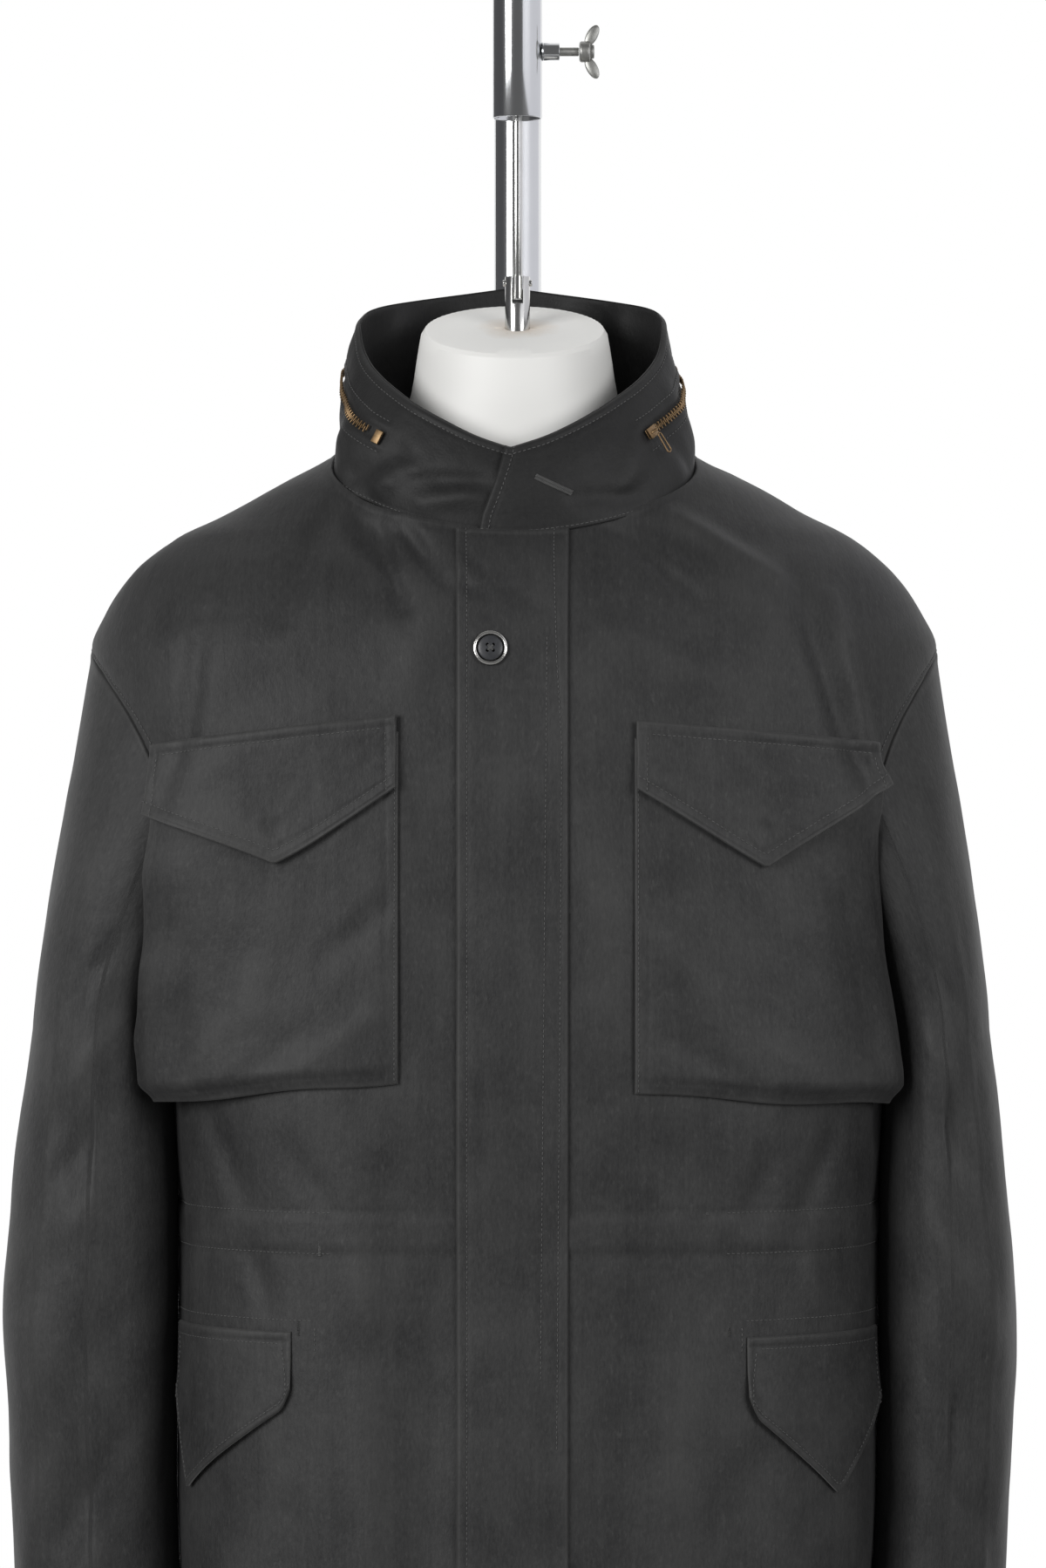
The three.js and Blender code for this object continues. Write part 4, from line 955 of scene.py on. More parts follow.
def sleeve_ring(side, around, z):
    """A point of a sleeve's level ring."""
    outer = sleeve_outer(z) + side * SLEEVE_SHIFT
    inner = body_half(z) + side * body_shift(z) + SLEEVE_CLEAR
    centre, half = (outer + inner) / 2, (outer - inner) / 2
    s, c = np.sin(around), np.cos(around)
    radius = (np.abs(s) ** SLEEVE_POWER + np.abs(c) ** SLEEVE_POWER) ** (-1 / SLEEVE_POWER)
    lift = sleeve_folds(side, around, z)
    x = centre + radius * s * half + lift * s
    y = sleeve_drift(z) - radius * c * sleeve_depth(z) - lift * c
    return np.stack([side * x, y, z + 0 * x], axis=-1)


def sleeve_blend(side, around, t):
    """A point between the armhole and the first level ring."""
    start = armhole_point(side, around)
    end = sleeve_ring(side, around, np.full_like(around, float(SLEEVE_BLEND_Z)))
    length = np.linalg.norm(end - start, axis=-1, keepdims=True)
    spread = 0.12 + 0.34 * np.cos(around) ** 2
    leave = np.stack([side * spread, 0 * spread, -np.ones_like(spread)], axis=-1)
    leave *= length / np.linalg.norm(leave, axis=-1, keepdims=True)
    arrive = np.array([side * 0.04, 0, -1]) * length * 0.9
    t = t[..., None]
    t2, t3 = t * t, t * t * t
    point = start * (2 * t3 - 3 * t2 + 1) + leave * (t3 - 2 * t2 + t)
    return point + end * (3 * t2 - 2 * t3) + arrive * (t3 - t2)


def ring_normals(points, side):
    """Outward normals of looped rings that run from the top down."""
    across = np.roll(points, -1, axis=1) - np.roll(points, 1, axis=1)
    down = np.gradient(points, axis=0)
    normal = np.cross(down, across) * side
    normal /= np.linalg.norm(normal, axis=-1, keepdims=True)
    return normal


def sleeve(side, name, node):
    """One sleeve as a looped wall from the armhole to the cuff."""
    columns = 124
    around = np.linspace(0, 2 * math.pi, columns + 1)[:-1][None, :]
    blend = spaced(150, SLEEVE_STEP, low=True, high=False)[:-1][:, None]
    level = mix(SLEEVE_BLEND_Z, CUFF_Z, spaced(SLEEVE_BLEND_Z - CUFF_Z, SLEEVE_STEP, low=False)[:, None])
    top = sleeve_blend(side, around + 0 * blend, blend + 0 * around)
    low = sleeve_ring(side, around + 0 * level, level + 0 * around)
    points = np.concatenate([top, low])
    normal = ring_normals(points, side)
    bottom = points[-1:, :, 2] * 0 + points[..., 2] - CUFF_Z
    steps = np.linalg.norm(np.diff(points, axis=0), axis=2)
    down = np.concatenate([np.zeros((1, columns)), np.cumsum(steps, axis=0)])
    seam = np.minimum(down, bottom)
    wrinkles = sleeve_wrinkles(side, around + 0 * down, points[..., 2])
    lift = wrinkles * smooth(down / 24) - CLOTH * (1 - rounded(seam, 1.5))
    lift += stitched(bottom, row=17, depth=0.45)
    lift += 0.5 * small_noise(around * 9 + 3, down / 30) * np.exp(-down / 12)
    cap = np.exp(-(((down - 2.5) / 2.6) ** 2)) * 0.5
    outer = points + normal * (lift + cap)[..., None]
    inner = points + normal * (wrinkles * smooth(down / 24) - CLOTH)[..., None]
    inner[0] = armhole_point(side, around[0], -CLOTH)
    uv = np.stack([(around + 0 * down) * 62 + 900 * side, points[..., 2]], axis=-1)
    wear = np.clip(np.exp(-seam / 1.6) + 0.4 * np.clip(wrinkles / 2.5, 0, 1), 0, 1)
    piece = wall(name, outer, inner, uv, wear, looped=True)
    sew(node, outer, inner, bottom, 17)
    looped = np.concatenate([points, points[:, :1]], axis=1)
    area = float(grid_area(looped)) * MM * MM
    shown = round(min(area, 0.46 * 0.6), 4)
    dress(piece, node, (0.46, 0.6), held="hung", area=shown, rests_on=["front_left"])


sleeve(-1, "sleeve_left_cloth", "sleeve_left")
sleeve(1, "sleeve_right_cloth", "sleeve_right")

# %% [markdown]
# ## Collar
# The stand collar runs once round the neck and laps over its own start at the front. It is two thick layers
# with the hood's zip between them, so it stands up by itself and bends in long shallow waves. Rows of
# stitches run beside the top fold and on both sides of the zip.

# %% Collar surface
COLLAR_CLOTH = 3.0
COLLAR_RIM = [
    (0, 1415),
    (12, 1422),
    (27, 1434),
    (43, 1448),
    (58, 1462),
    (72, 1476),
    (90, 1497),
    (110, 1509),
    (140, 1518),
    (180, 1528),
]
RIM_HALF = 98
RIM_FRONT = 89
RIM_BACK = 78
RIM_SHIFT = -2
COLLAR_BULGE = 3
COLLAR_DROP = 5.5
COLLAR_RELIEF = 1.5
UNDER_END = 11
OVER_END_TOP = 2
OVER_END_BASE = 8
LAP = 4.2
LAP_FROM = 326
LAP_RUN = 30
ZIP_SHARE = 0.58
ZIP_STOP_ANGLE = -46
ZIP_SLIDER_ANGLE = 46
rim_height = through([row[0] for row in COLLAR_RIM], [row[1] for row in COLLAR_RIM])

# Creases on the collar: from (angle, share of height) to (angle, share), half width in mm, height
COLLAR_CREASES = [
    (-50, 0.08, -36, 0.5, 9, -2.2),
    (-38, 0.12, -28, 0.4, 7, 1.6),
    (-30, 0.3, -10, 0.5, 8, -2.0),
    (-22, 0.12, -12, 0.3, 7, 1.5),
    (-64, 0.3, -50, 0.7, 9, 1.3),
    (-80, 0.1, -70, 0.5, 9, -1.6),
    (8, 0.3, 30, 0.12, 9, -1.4),
    (30, 0.25, 42, 0.6, 8, 1.3),
    (60, 0.1, 52, 0.5, 8, -1.8),
    (74, 0.2, 66, 0.7, 9, 1.4),
    (96, 0.1, 90, 0.8, 10, -1.6),
    (-100, 0.15, -94, 0.8, 10, 1.4),
    (120, 0.2, 132, 0.8, 11, -1.5),
    (150, 0.15, 144, 0.8, 10, 1.5),
    (174, 0.2, 180, 0.8, 10, -1.4),
    (-126, 0.15, -134, 0.8, 11, -1.5),
    (-156, 0.2, -150, 0.8, 10, 1.4),
]


def collar_point(angle, share, out=0.0):
    """A point of the collar: degrees from the front middle, share of its height, way out."""
    angle, share, out = np.broadcast_arrays(np.asarray(angle, float), share, out)
    facing = (angle + 180) % 360 - 180
    turn = facing / 90
    base = bare_body(turn, neckline_z(turn)) + np.array([0, 0, SEAM / 2])
    a = np.radians(facing)
    depth = np.where(np.cos(a) > 0, RIM_FRONT, RIM_BACK)
    rim_x = RIM_SHIFT + RIM_HALF * np.sin(a)
    rim = np.stack([rim_x, -depth * np.cos(a), rim_height(np.abs(facing))], axis=-1)
    outward = np.stack([np.sin(a), -np.cos(a), 0 * a], axis=-1)
    bulge = COLLAR_BULGE * np.sin(math.pi * share) + out
    return mix(base, rim, share[..., None]) + outward * bulge[..., None]


def collar_wrinkles(angle, share):
    """Waves and creases of the collar, in millimetres."""
    facing = (angle + 180) % 360 - 180
    height = np.zeros(np.broadcast(angle, share).shape)
    for start, low, end, high, width, lift in COLLAR_CREASES:
        ax, ay, bx, by = start * 1.65, low * 75, end * 1.65, high * 75
        px, py = facing * 1.65, share * 75
        t = np.clip(((px - ax) * (bx - ax) + (py - ay) * (by - ay)) / ((bx - ax) ** 2 + (by - ay) ** 2), 0, 1)
        far = np.hypot(px - mix(ax, bx, t), py - mix(ay, by, t)) / width
        height += COLLAR_RELIEF * lift * np.exp(-far * far)
    height += 0.9 * soft_noise(facing / 17 + 20, share * 2 + 1)
    height += 0.3 * small_noise(facing / 6 + 30, share * 6)
    below = body_folds(facing / 90, neckline_z(facing / 90))
    return height * smooth(share / 0.1) + (below + 0 * share) * (1 - smooth(share / 0.35))


def collar_height(angle):
    return collar_point(angle, 1.0)[..., 2] - collar_point(angle, 0.0)[..., 2]


def collar():
    """The collar as one band, which starts under the front lap and ends over its start."""
    round_length = 620
    u = spaced(round_length, 2.7)[None, :]
    v = spaced(84, 2.6)[:, None]
    gone = u * (360 + UNDER_END + mix(OVER_END_BASE, OVER_END_TOP, v))
    angle = UNDER_END - gone
    lap = LAP * smooth((gone - LAP_FROM) / LAP_RUN)
    points = collar_point(angle, v + 0 * u, lap)
    points[..., 2] -= COLLAR_DROP * (1 - smooth(v / 0.12))
    left, right, bottom, top = grid_distance(points)
    seam = np.minimum(np.minimum(left, right), np.minimum(bottom, top))
    over = smooth((gone - LAP_FROM - 20) / 20)
    waves = collar_wrinkles(angle, v + 0 * u) * (1 - smooth((gone + 6 - 360) / 6)) * smooth(gone / 14)
    facing = (angle + 180) % 360 - 180
    middle = (v - ZIP_SHARE) * collar_height(facing)
    zipped = smooth((np.abs(facing) - 40) / 3)
    lips = zipped * (0.6 * np.exp(-(((np.abs(middle) - 6.5) / 2.4) ** 2)) - np.exp(-((middle / 4.4) ** 4)))
    rows = -0.4 * zipped * np.exp(-(((np.abs(middle) - 9.5) / 1.2) ** 2))
    lift = waves - COLLAR_CLOTH * (1 - rounded(seam, 2.0)) * 0.9 + lips + rows
    lift += stitched(top, row=5.2, depth=0.5) + stitched(right, row=6) * over
    lift += stitched(bottom, row=2.6, depth=0.5)
    thick = np.where(top < 3, 0.5 + 0.5 * rounded(top, 3), 1.0)
    out = np.stack([np.sin(np.radians(angle)), -np.cos(np.radians(angle)), 0 * angle], axis=-1)
    outer = points + out * lift[..., None]
    inner = points + out * (waves - COLLAR_CLOTH * thick)[..., None]
    uv = np.stack([-gone * 1.65 + 2000, v * 84 + 0 * u], axis=-1)
    wear = np.clip(np.exp(-seam / 2.0) + 0.5 * np.clip(waves / 2, 0, 1), 0, 1)
    piece = wall("collar_cloth", outer, inner, uv, wear)
    sew("collar", outer, inner, top, 5.2)
    sew("collar", outer, inner, bottom, 2.6)
    sew("collar", outer, inner, right, 6, True)
    for level in (-9.5, 9.5):
        sew("collar", outer, inner, middle, level, False, zipped > 0.5)
    area = float(grid_area(points)) * MM * MM
    shown = round(min(area, 0.63 * 0.12), 4)
    dress(piece, "collar", (0.63, 0.12), held="gathered", area=shown, rests_on=["back"])


collar()

# %% [markdown]
# ## Fly front
# A long strip hides the front zip. It is free at its left edge as seen, sewn at its right, and a second row
# of stitches inside it follows the hidden buttonhole strip and ends in a curve low down.

# %% Fly
FLY_LEFT_X = -35
FLY_RIGHT_X = 33
FLY_CLOTH = 2.4
FLY_DROP = 3
LAID_ON = 0.8
BUTTON_X = -14.3
BUTTON_Z = 1290

# Puckers of the fly: from (x, z) to (x, z), half width, height
FLY_CREASES = [
    (-34, 1352, -20, 1338, 4, -1.2),
    (-34, 1342, -22, 1330, 4, 0.9),
    (-34, 1330, -18, 1322, 4, -0.9),
    (-6, 1330, 20, 1308, 6, -0.9),
    (12, 1350, 20, 1318, 4, 1.0),
    (-12, 1272, -6, 1240, 6, 0.6),
    (-20, 1180, -16, 1120, 7, -0.6),
    (8, 1120, 14, 1040, 7, 0.6),
    (-18, 1000, -12, 930, 7, 0.6),
    (10, 930, 4, 860, 7, -0.6),
    (-14, 820, -8, 760, 7, -0.6),
]


def strip_wrinkles(x, z):
    arc_of = lambda place, level: float(place)
    return crease_sum(x, z, FLY_CREASES, arc_of) + 0.25 * small_noise(x / 11 + 40, z / 24)


def fly_seams(x, z):
    """Dips of the two inner rows of stitches of the fly."""
    right = -0.45 * np.exp(-(((x - fly_row_x(z)) / 1.3) ** 2)) * smooth((z - 795) / 6)
    inner = -0.35 * np.exp(-(((x - fly_inner_x(z)) / 1.3) ** 2))
    inner = inner * smooth((1300 - z) / 8) * smooth((z - 838) / 6)
    return right + inner


def fly_row_x(z):
    return np.interp(z, [640, 820, 1230, 1282, 1346], [24, 26, 29, 26, 24])


def fly_inner_x(z):
    return np.interp(z, [640, 830, 1180, 1290, 1346], [12, 16, 19, 20, 19])


def fly():
    z_row, neck = panel_rows(3.0)
    x = mix(FLY_LEFT_X, FLY_RIGHT_X, spaced(68, 2.4)[None, :])
    z = mix(z_row + 0 * x, neckline_z(turn_at_x(x, z_row + 0 * x)) - SEAM / 2, neck)
    turn = turn_at_x(x, z)
    z = z - FLY_DROP * neck
    flat = bare_body(turn, z)
    left, right, bottom, top = grid_distance(flat)
    seam = np.minimum(np.minimum(left, right), np.minimum(bottom, top))
    lift = strip_wrinkles(x, z) + fly_seams(x, z) + stitched(left, row=6.5, depth=0.5)
    lift += stitched(top, row=5, depth=0.4) + stitched(bottom, row=20, depth=0.4)
    lift += 0.7 * np.exp(-(left / 2.4) ** 2)
    edge = FLY_CLOTH * rounded(seam, 2.0)
    outer = body_point(turn, z, LAID_ON + edge + lift * smooth(seam / 1.5))
    inner = body_point(turn, z, LAID_ON * 0.6)
    uv = np.stack([x + 0 * z + 3000, z], axis=-1)
    wear = np.clip(np.exp(-seam / 1.8) + 0.3 * np.clip(lift / 1.5, 0, 1), 0, 1)
    piece = wall("fly_cloth", outer, inner, uv, wear)
    sew("fly", outer, inner, left, 6.5, True)
    sew("fly", outer, inner, x - fly_row_x(z), 0, True, z > 800)
    sew("fly", outer, inner, x - fly_inner_x(z), 0, True, (z > 842) & (z < 1300))
    sew("fly", outer, inner, bottom, 20)
    dress(piece, "fly", (0.07, 0.75), held="laid", area=0.051, rests_on=["front_left", "front_right"])


fly()

# %% [markdown]
# ## Chest pockets and flaps
# The pockets are bellows: the bag is wider than its opening and stands off the chest at its lower outer
# corner, where the cloth reaches over the sleeve. Each pointed flap lies over the pocket from a narrow strip
# at its top, and a snap underneath presses a small round dimple into it.

# %% Pocket shapes
EDGE_COLUMNS = ("z", "turn", "flare", "lift")
POCKETS = {
    -1: {
        "inner": (-70, 1240, 1026),
        "outer": (1226, 1011),
        "flap_top": (1250, 1233),
        "flap_end": (1206, 1193),
        "point": 1160,
        "edge": [
            (1000, 0.8, 15, 0),
            (1050, 0.79, 17, 2),
            (1100, 0.75, 22, 6),
            (1150, 0.71, 20, 8),
            (1190, 0.7, 8, 5),
            (1210, 0.7, 5, 3),
            (1226, 0.7, 2, 1),
            (1240, 0.7, 0, 0),
        ],
    },
    1: {
        "inner": (73, 1236, 1020),
        "outer": (1226, 1010),
        "flap_top": (1246, 1234),
        "flap_end": (1205, 1209),
        "point": 1157,
        "edge": [
            (1000, 0.8, 6.5, 0),
            (1055, 0.8, 5.5, 0),
            (1120, 0.77, 1, 2),
            (1190, 0.7, 2, 2),
            (1210, 0.7, 2, 1),
            (1226, 0.69, 0, 0),
            (1240, 0.69, 0, 0),
        ],
    },
}
for pocket in POCKETS.values():
    for name in EDGE_COLUMNS[1:]:
        pocket[name] = column(pocket["edge"], EDGE_COLUMNS, name)
POCKET_STAND = 13
FLARE_FROM = 0.35

# Creases of a pocket or flap: from (u, v) to (u, v) in its own shares, half width in mm, height
POCKET_CREASES = {
    -1: [
        (0.05, 0.5, 0.3, 0.62, 9, -1.2),
        (0.5, 0.45, 0.55, 0.75, 12, 1.2),
        (0.85, 0.5, 0.78, 0.9, 10, -1.8),
        (0.95, 0.6, 0.9, 0.95, 8, 1.4),
        (0.1, 0.8, 0.35, 0.93, 8, 1.2),
        (0.4, 0.85, 0.6, 0.97, 8, -1.5),
        (0.65, 0.8, 0.8, 0.97, 8, 1.3),
    ],
    1: [
        (0.06, 0.55, 0.26, 0.7, 9, 1.1),
        (0.45, 0.5, 0.5, 0.8, 12, -1.1),
        (0.8, 0.45, 0.86, 0.85, 10, -1.9),
        (0.94, 0.5, 0.96, 0.9, 8, 1.3),
        (0.15, 0.86, 0.4, 0.95, 8, -1.2),
        (0.5, 0.85, 0.7, 0.96, 8, 1.2),
    ],
}


def shares_creases(u, v, rows, wide, high):
    height = np.zeros(np.broadcast(u, v).shape)
    for au, av, bu, bv, width, lift in rows:
        ax, ay, bx, by = au * wide, av * high, bu * wide, bv * high
        along = (u * wide - ax) * (bx - ax) + (v * high - ay) * (by - ay)
        t = np.clip(along / ((bx - ax) ** 2 + (by - ay) ** 2), 0, 1)
        far = np.hypot(u * wide - mix(ax, bx, t), v * high - mix(ay, by, t)) / width
        height += lift * np.exp(-far * far)
    return height


def beyond(u):
    return smooth((u - FLARE_FROM) / (1 - FLARE_FROM))


def pocket_stand(u, v):
    return POCKET_STAND * smooth((v - 0.25) / 0.75) * mix(0.35, 1, smooth(u * 1.2))


def on_pocket(side, u, z, inset, out):
    """A point of a pocket or its flap: a share of the way across, a height and a distance off the chest."""
    pocket = POCKETS[side]
    inner = np.abs(turn_at_x(pocket["inner"][0] + side * inset, z))
    turn = side * mix(inner, pocket["turn"](z), u)
    point = body_point(turn, z, out + pocket["lift"](z) * beyond(u))
    point[..., 0] += side * pocket["flare"](z) * beyond(u)
    return point


def chest_pocket(side, name, node):
    pocket = POCKETS[side]
    u = spaced(165, 2.7)[None, :]
    v = spaced(222, 2.7)[:, None]
    top_z, bottom_z = pocket["inner"][1:]
    z = mix(mix(top_z, pocket["outer"][0], u), mix(bottom_z, pocket["outer"][1], u), v)
    z = z + 2.0 * np.sin(u * 7 + side) * smooth((v - 0.8) / 0.2) * np.sin(math.pi * u)
    low = np.where(v < 0.5, 1, mix(0.25, 1, smooth((1 - v) / 0.06)))
    out = LAID_ON + pocket_stand(u, v) * mix(0.3, 1, smooth(u / 0.08)) * low
    base = on_pocket(side, u, z, 0, out)
    left, right, bottom, top = grid_distance(base)
    seam = np.minimum(np.minimum(left, right), np.minimum(bottom, top))
    lift = shares_creases(u, v, POCKET_CREASES[side], 160, 222) * smooth(v / 0.3)
    lift += 0.5 * small_noise(u * 9 + side, v * 12)
    lift += stitched(left, row=8, depth=0.5) + stitched(right, row=8, depth=0.4)
    lift += stitched(top, row=8, depth=0.5)
    lift = lift * smooth(seam / 5)
    outer = on_pocket(side, u, z, 0, out + CLOTH * rounded(seam, 1.5) + lift)
    inner = on_pocket(side, u, z, 0, out + lift * 0.6)
    uv = np.stack([u * 160 + side * 400 + 4000 + 0 * v, z], axis=-1)
    wear = np.clip(np.exp(-seam / 1.6) + 0.4 * np.clip(lift / 2, 0, 1), 0, 1)
    piece = wall(name, outer, inner, uv, wear)
    sew(node, outer, inner, left, 2.2, True, v > 0.1)
    sew(node, outer, inner, bottom, 2.2)
    front = "front_left" if side < 0 else "front_right"
    dress(piece, node, (0.18, 0.235), held="laid", rests_on=[front])


chest_pocket(-1, "chest_pocket_left_cloth", "chest_pocket_left")
chest_pocket(1, "chest_pocket_right_cloth", "chest_pocket_right")


SNAP_SHARE = 0.74


def chest_flap(side, name, node):
    pocket = POCKETS[side]
    u = spaced(150, 2.4)[None, :]
    v = spaced(80, 2.2)[:, None]
    end = mix(*pocket["flap_end"], u)
    z = mix(mix(*pocket["flap_top"], u), end + (pocket["point"] - end) * (1 - np.abs(2 * u - 1)), v)
    out = 2 * LAID_ON + CLOTH + pocket_stand(u, 0.42 * v) + 2.6 * v * v * mix(0.4, 1, u)
    base = on_pocket(side, u, z, 1, out)
    left, right, bottom, top = grid_distance(base)
    seam = np.minimum(np.minimum(left, right), np.minimum(bottom, top))
    snap = np.hypot((u - 0.5) * 150, (v - SNAP_SHARE) * 84)
    lift = 0.5 * np.exp(-(((snap - 8) / 2.2) ** 2)) - 0.9 * np.exp(-((snap / 5.5) ** 2))
    lift += 0.7 * soft_noise(u * 3 + side * 4, v * 2.2) + 0.3 * small_noise(u * 12, v * 7 + side)
    lift += stitched(top, row=2.0, depth=0.7) + stitched(top, row=8.5, depth=0.5)
    lift += stitched(left, row=7) + stitched(right, row=7) + stitched(bottom, row=7)
    lift = lift * smooth(seam / 2.5)
    lift = lift + 1.6 * smooth((v - 0.55) / 0.45) * (0.5 + 0.5 * np.sin(u * 5 + side * 2))
    outer = on_pocket(side, u, z, 1, out + CLOTH * rounded(seam, 1.5) + lift)
    inner = on_pocket(side, u, z, 1, out + lift * 0.5)
    uv = np.stack([u * 150 + side * 300 + 5000 + 0 * v, z], axis=-1)
    wear = np.clip(np.exp(-seam / 1.6) + 0.3 * np.clip(lift / 1.5, 0, 1), 0, 1)
    piece = wall(name, outer, inner, uv, wear)
    sew(node, outer, inner, top, 8.5)
    sew(node, outer, inner, left, 7, True, (v > 0.12) & (bottom > 7))
    sew(node, outer, inner, right, 7, True, (v > 0.12) & (bottom > 7))
    sew(node, outer, inner, bottom, 7.6, False, (left > 7) & (right > 7))
    rests = "chest_pocket_left" if side < 0 else "chest_pocket_right"
    dress(piece, node, (0.16, 0.092), held="laid", area=0.0112, rests_on=[rests])


chest_flap(-1, "chest_flap_left_cloth", "chest_flap_left")
chest_flap(1, "chest_flap_right_cloth", "chest_flap_right")

# %% [markdown]
# ## Hip flaps
# The lower pockets are inside, and only their flaps show. Each has a straight inner edge, then slants down to
# a point near the side seam.

# %% Hip flaps
HIP_FLAPS = {
    -1: {"x": -134.6, "turn": 0.87, "top": 874, "end": 830, "point": 772, "share": 0.79},
    1: {"x": 140.5, "turn": 0.87, "top": 871, "end": 826, "point": 772, "share": 0.54},
}
HIP_CORNER = 0.07
HIP_CORNER_RISE = 9


def hip_place(side, u, v):
    flap = HIP_FLAPS[side]
    share = flap["share"]
    down = np.where(u < share, u / share, (1 - u) / (1 - share))
    corner = np.clip(1 - u / HIP_CORNER, 0, 1) ** 2 * HIP_CORNER_RISE
    z = mix(flap["top"], mix(flap["end"], flap["point"], down) + corner, v)
    inner = np.abs(turn_at_x(flap["x"], z))
    return side * mix(inner, flap["turn"], u), z


def hip_flap(side, name, node):
    u = spaced(92, 2.0)[None, :]
    v = spaced(72, 2.2)[:, None]
    turn, z = hip_place(side, u + 0 * v, v + 0 * u)
    out = LAID_ON + 1.5 * v * v
    flat = bare_body(turn, z)
    left, right, bottom, top = grid_distance(flat)
    seam = np.minimum(np.minimum(left, right), np.minimum(bottom, top))
    lift = 0.5 * soft_noise(u * 3 + side * 7, v * 2 + 5) + 0.3 * small_noise(u * 12 + 3, v * 6 + side)
    lift += stitched(top, row=5, depth=0.5)
    lift += stitched(left, row=6) + stitched(right, row=6) + stitched(bottom, row=6)
    raise_edge = 1.8 * smooth((v - 0.5) / 0.5) * (0.5 + 0.5 * np.sin(u * 6 + side))
    outer = body_point(turn, z, out + CLOTH * rounded(seam, 1.5) + lift * smooth(seam / 2.5) + raise_edge)
    inner = body_point(turn, z, out + lift * 0.5 * smooth(seam / 2.5) + raise_edge)
    uv = np.stack([u * 92 + side * 300 + 6000 + 0 * v, z], axis=-1)
    wear = np.clip(np.exp(-seam / 1.6) + 0.3 * np.clip(lift / 1.5, 0, 1), 0, 1)
    piece = wall(name, outer, inner, uv, wear)
    sew(node, outer, inner, top, 5)
    sew(node, outer, inner, left, 6, True, bottom > 7)
    sew(node, outer, inner, right, 6, True, bottom > 7)
    sew(node, outer, inner, bottom, 7.4, False, (left > 6) & (right > 6))
    front = "front_left" if side < 0 else "front_right"
    dress(piece, node, (0.1, 0.105), held="hung", area=0.0072, rests_on=[front])


hip_flap(-1, "hip_flap_left_cloth", "hip_flap_left")
hip_flap(1, "hip_flap_right_cloth", "hip_flap_right")

# %% [markdown]
# ## The fabric
# Washed, sueded satin is a little lighter wherever it has rubbed: on folded edges, on the tops of creases and
# in small flecks that follow the warp. The collar, and the cloth towards the neck, are darkened with painted
# shade.
# The flecks and streaks come from noise that is stretched along the cloth's length, and the worn edges from
# the attribute stored with each point.

# %% Cloth material
CLOTH_DARK = (0.0175, 0.0175, 0.018, 1)
CLOTH_LIGHT = (0.041, 0.041, 0.0408, 1)
CLOTH_WORN = (0.072, 0.0715, 0.07, 1)
# Painted shade: from this height in metres the cloth's colour darkens towards the neck
NECK_PAINTED_SHADE_FROM = 1.26


def cloth_material(name, shade=1.0):
    """The satin; a shade below 1 darkens all its colours, as painted shade."""
    tones = (CLOTH_DARK, CLOTH_LIGHT, CLOTH_WORN)
    dark, light, worn = ([c * shade for c in tone[:3]] + [1] for tone in tones)
    g = Graph(name)
    cloud = g.noise(g.place((1, 0.7, 1)), 24, 4, 0.6)
    grain = g.noise(g.place((1, 0.32, 1)), 620, 2, 0.6)
    streak = g.noise(g.place((1, 0.045, 1)), 210, 3, 0.6)
    fleck = g.ramp(g.noise(g.place((1, 0.4, 1)), 330, 3, 0.7), (0.56, 0), (0.74, 1))
    tone = g.ramp(cloud * 0.48 + grain * 0.34 + streak * 0.18, (0.38, 0), (0.62, 1))
    colour = g.mix(tone, dark, light)
    colour = g.mix(fleck * 0.4, colour, worn)
    colour = g.mix(g.attribute("wear") * (0.35 + cloud * 0.5), colour, worn)
    # Painted shade: the colour darkens with height towards the neck and shoulders
    height = g.node("ShaderNodeSeparateXYZ", {}, {"Vector": g.place(source="Object")})["Z"]
    neck_painted_shade = g.ramp((height + cloud * 0.06 - NECK_PAINTED_SHADE_FROM) * 5, (0, 0), (1, 1))
    colour = g.mix(neck_painted_shade * 0.5, colour, [c * 0.35 for c in dark[:3]] + [1])
    crumple = g.noise(g.place((1, 0.8, 1)), 120, 3, 0.5)
    weave = g.noise(g.place((1, 0.5, 1)), 900, 1, 0.5)
    g.set(
        Base_Color=colour,
        Roughness=0.54 + cloud * 0.12,
        Specular_IOR_Level=0.36,
        Sheen_Weight=0.06,
        Sheen_Roughness=0.45,
        Sheen_Tint=(0.8, 0.8, 0.82, 1),
        Normal=g.bump(crumple * 0.75 + weave * 0.25, 0.5, 0.0011),
    )
    return g.material


FABRIC = cloth_material("washed satin")
# Painted shade: the collar gets a copy of the satin at 0.55 of its colour
SHADED_COLLAR_FABRIC = cloth_material("satin with painted shade", 0.55)
for node, piece in CLOTH_PIECES.items():
    piece.data.materials.append(SHADED_COLLAR_FABRIC if node == "collar" else FABRIC)
print("fabric on", len(CLOTH_PIECES), "pieces")

# %% [markdown]
# ## Stitches
# Every seam that shows is sewn with a thick thread of the cloth's own colour. Each stitch is a small pod that
# lies in the dip made for its row. They are joined to one piece for each part of the jacket, and turn a
# little from one to the next, as a machine leaves them on cloth that has shrunk in the wash.

# %% Threads
STITCH_PITCH = 3.1
STITCH_HALF = 1.15
STITCH_RADIUS = 0.33
STITCH_SIDES = 5


def thread_points(points, normals):
    """Centres, directions and normals of the stitches along a polyline."""
    gone = np.concatenate([[0], np.cumsum(np.linalg.norm(np.diff(points, axis=0), axis=1))])
    at = np.arange(STITCH_PITCH, gone[-1] - STITCH_PITCH / 2, STITCH_PITCH)
    pick = lambda rows, where: np.stack([np.interp(where, gone, rows[:, k]) for k in range(3)], axis=-1)
    centre, normal = pick(points, at), pick(normals, at)
    along = pick(points, at + 1) - pick(points, at - 1)
    along /= np.maximum(np.linalg.norm(along, axis=1, keepdims=True), 1e-6)
    along += np.cross(normal, along) * (0.12 * np.sin(at * 1.7))[:, None]
    return centre + normal * 0.16, along, normal


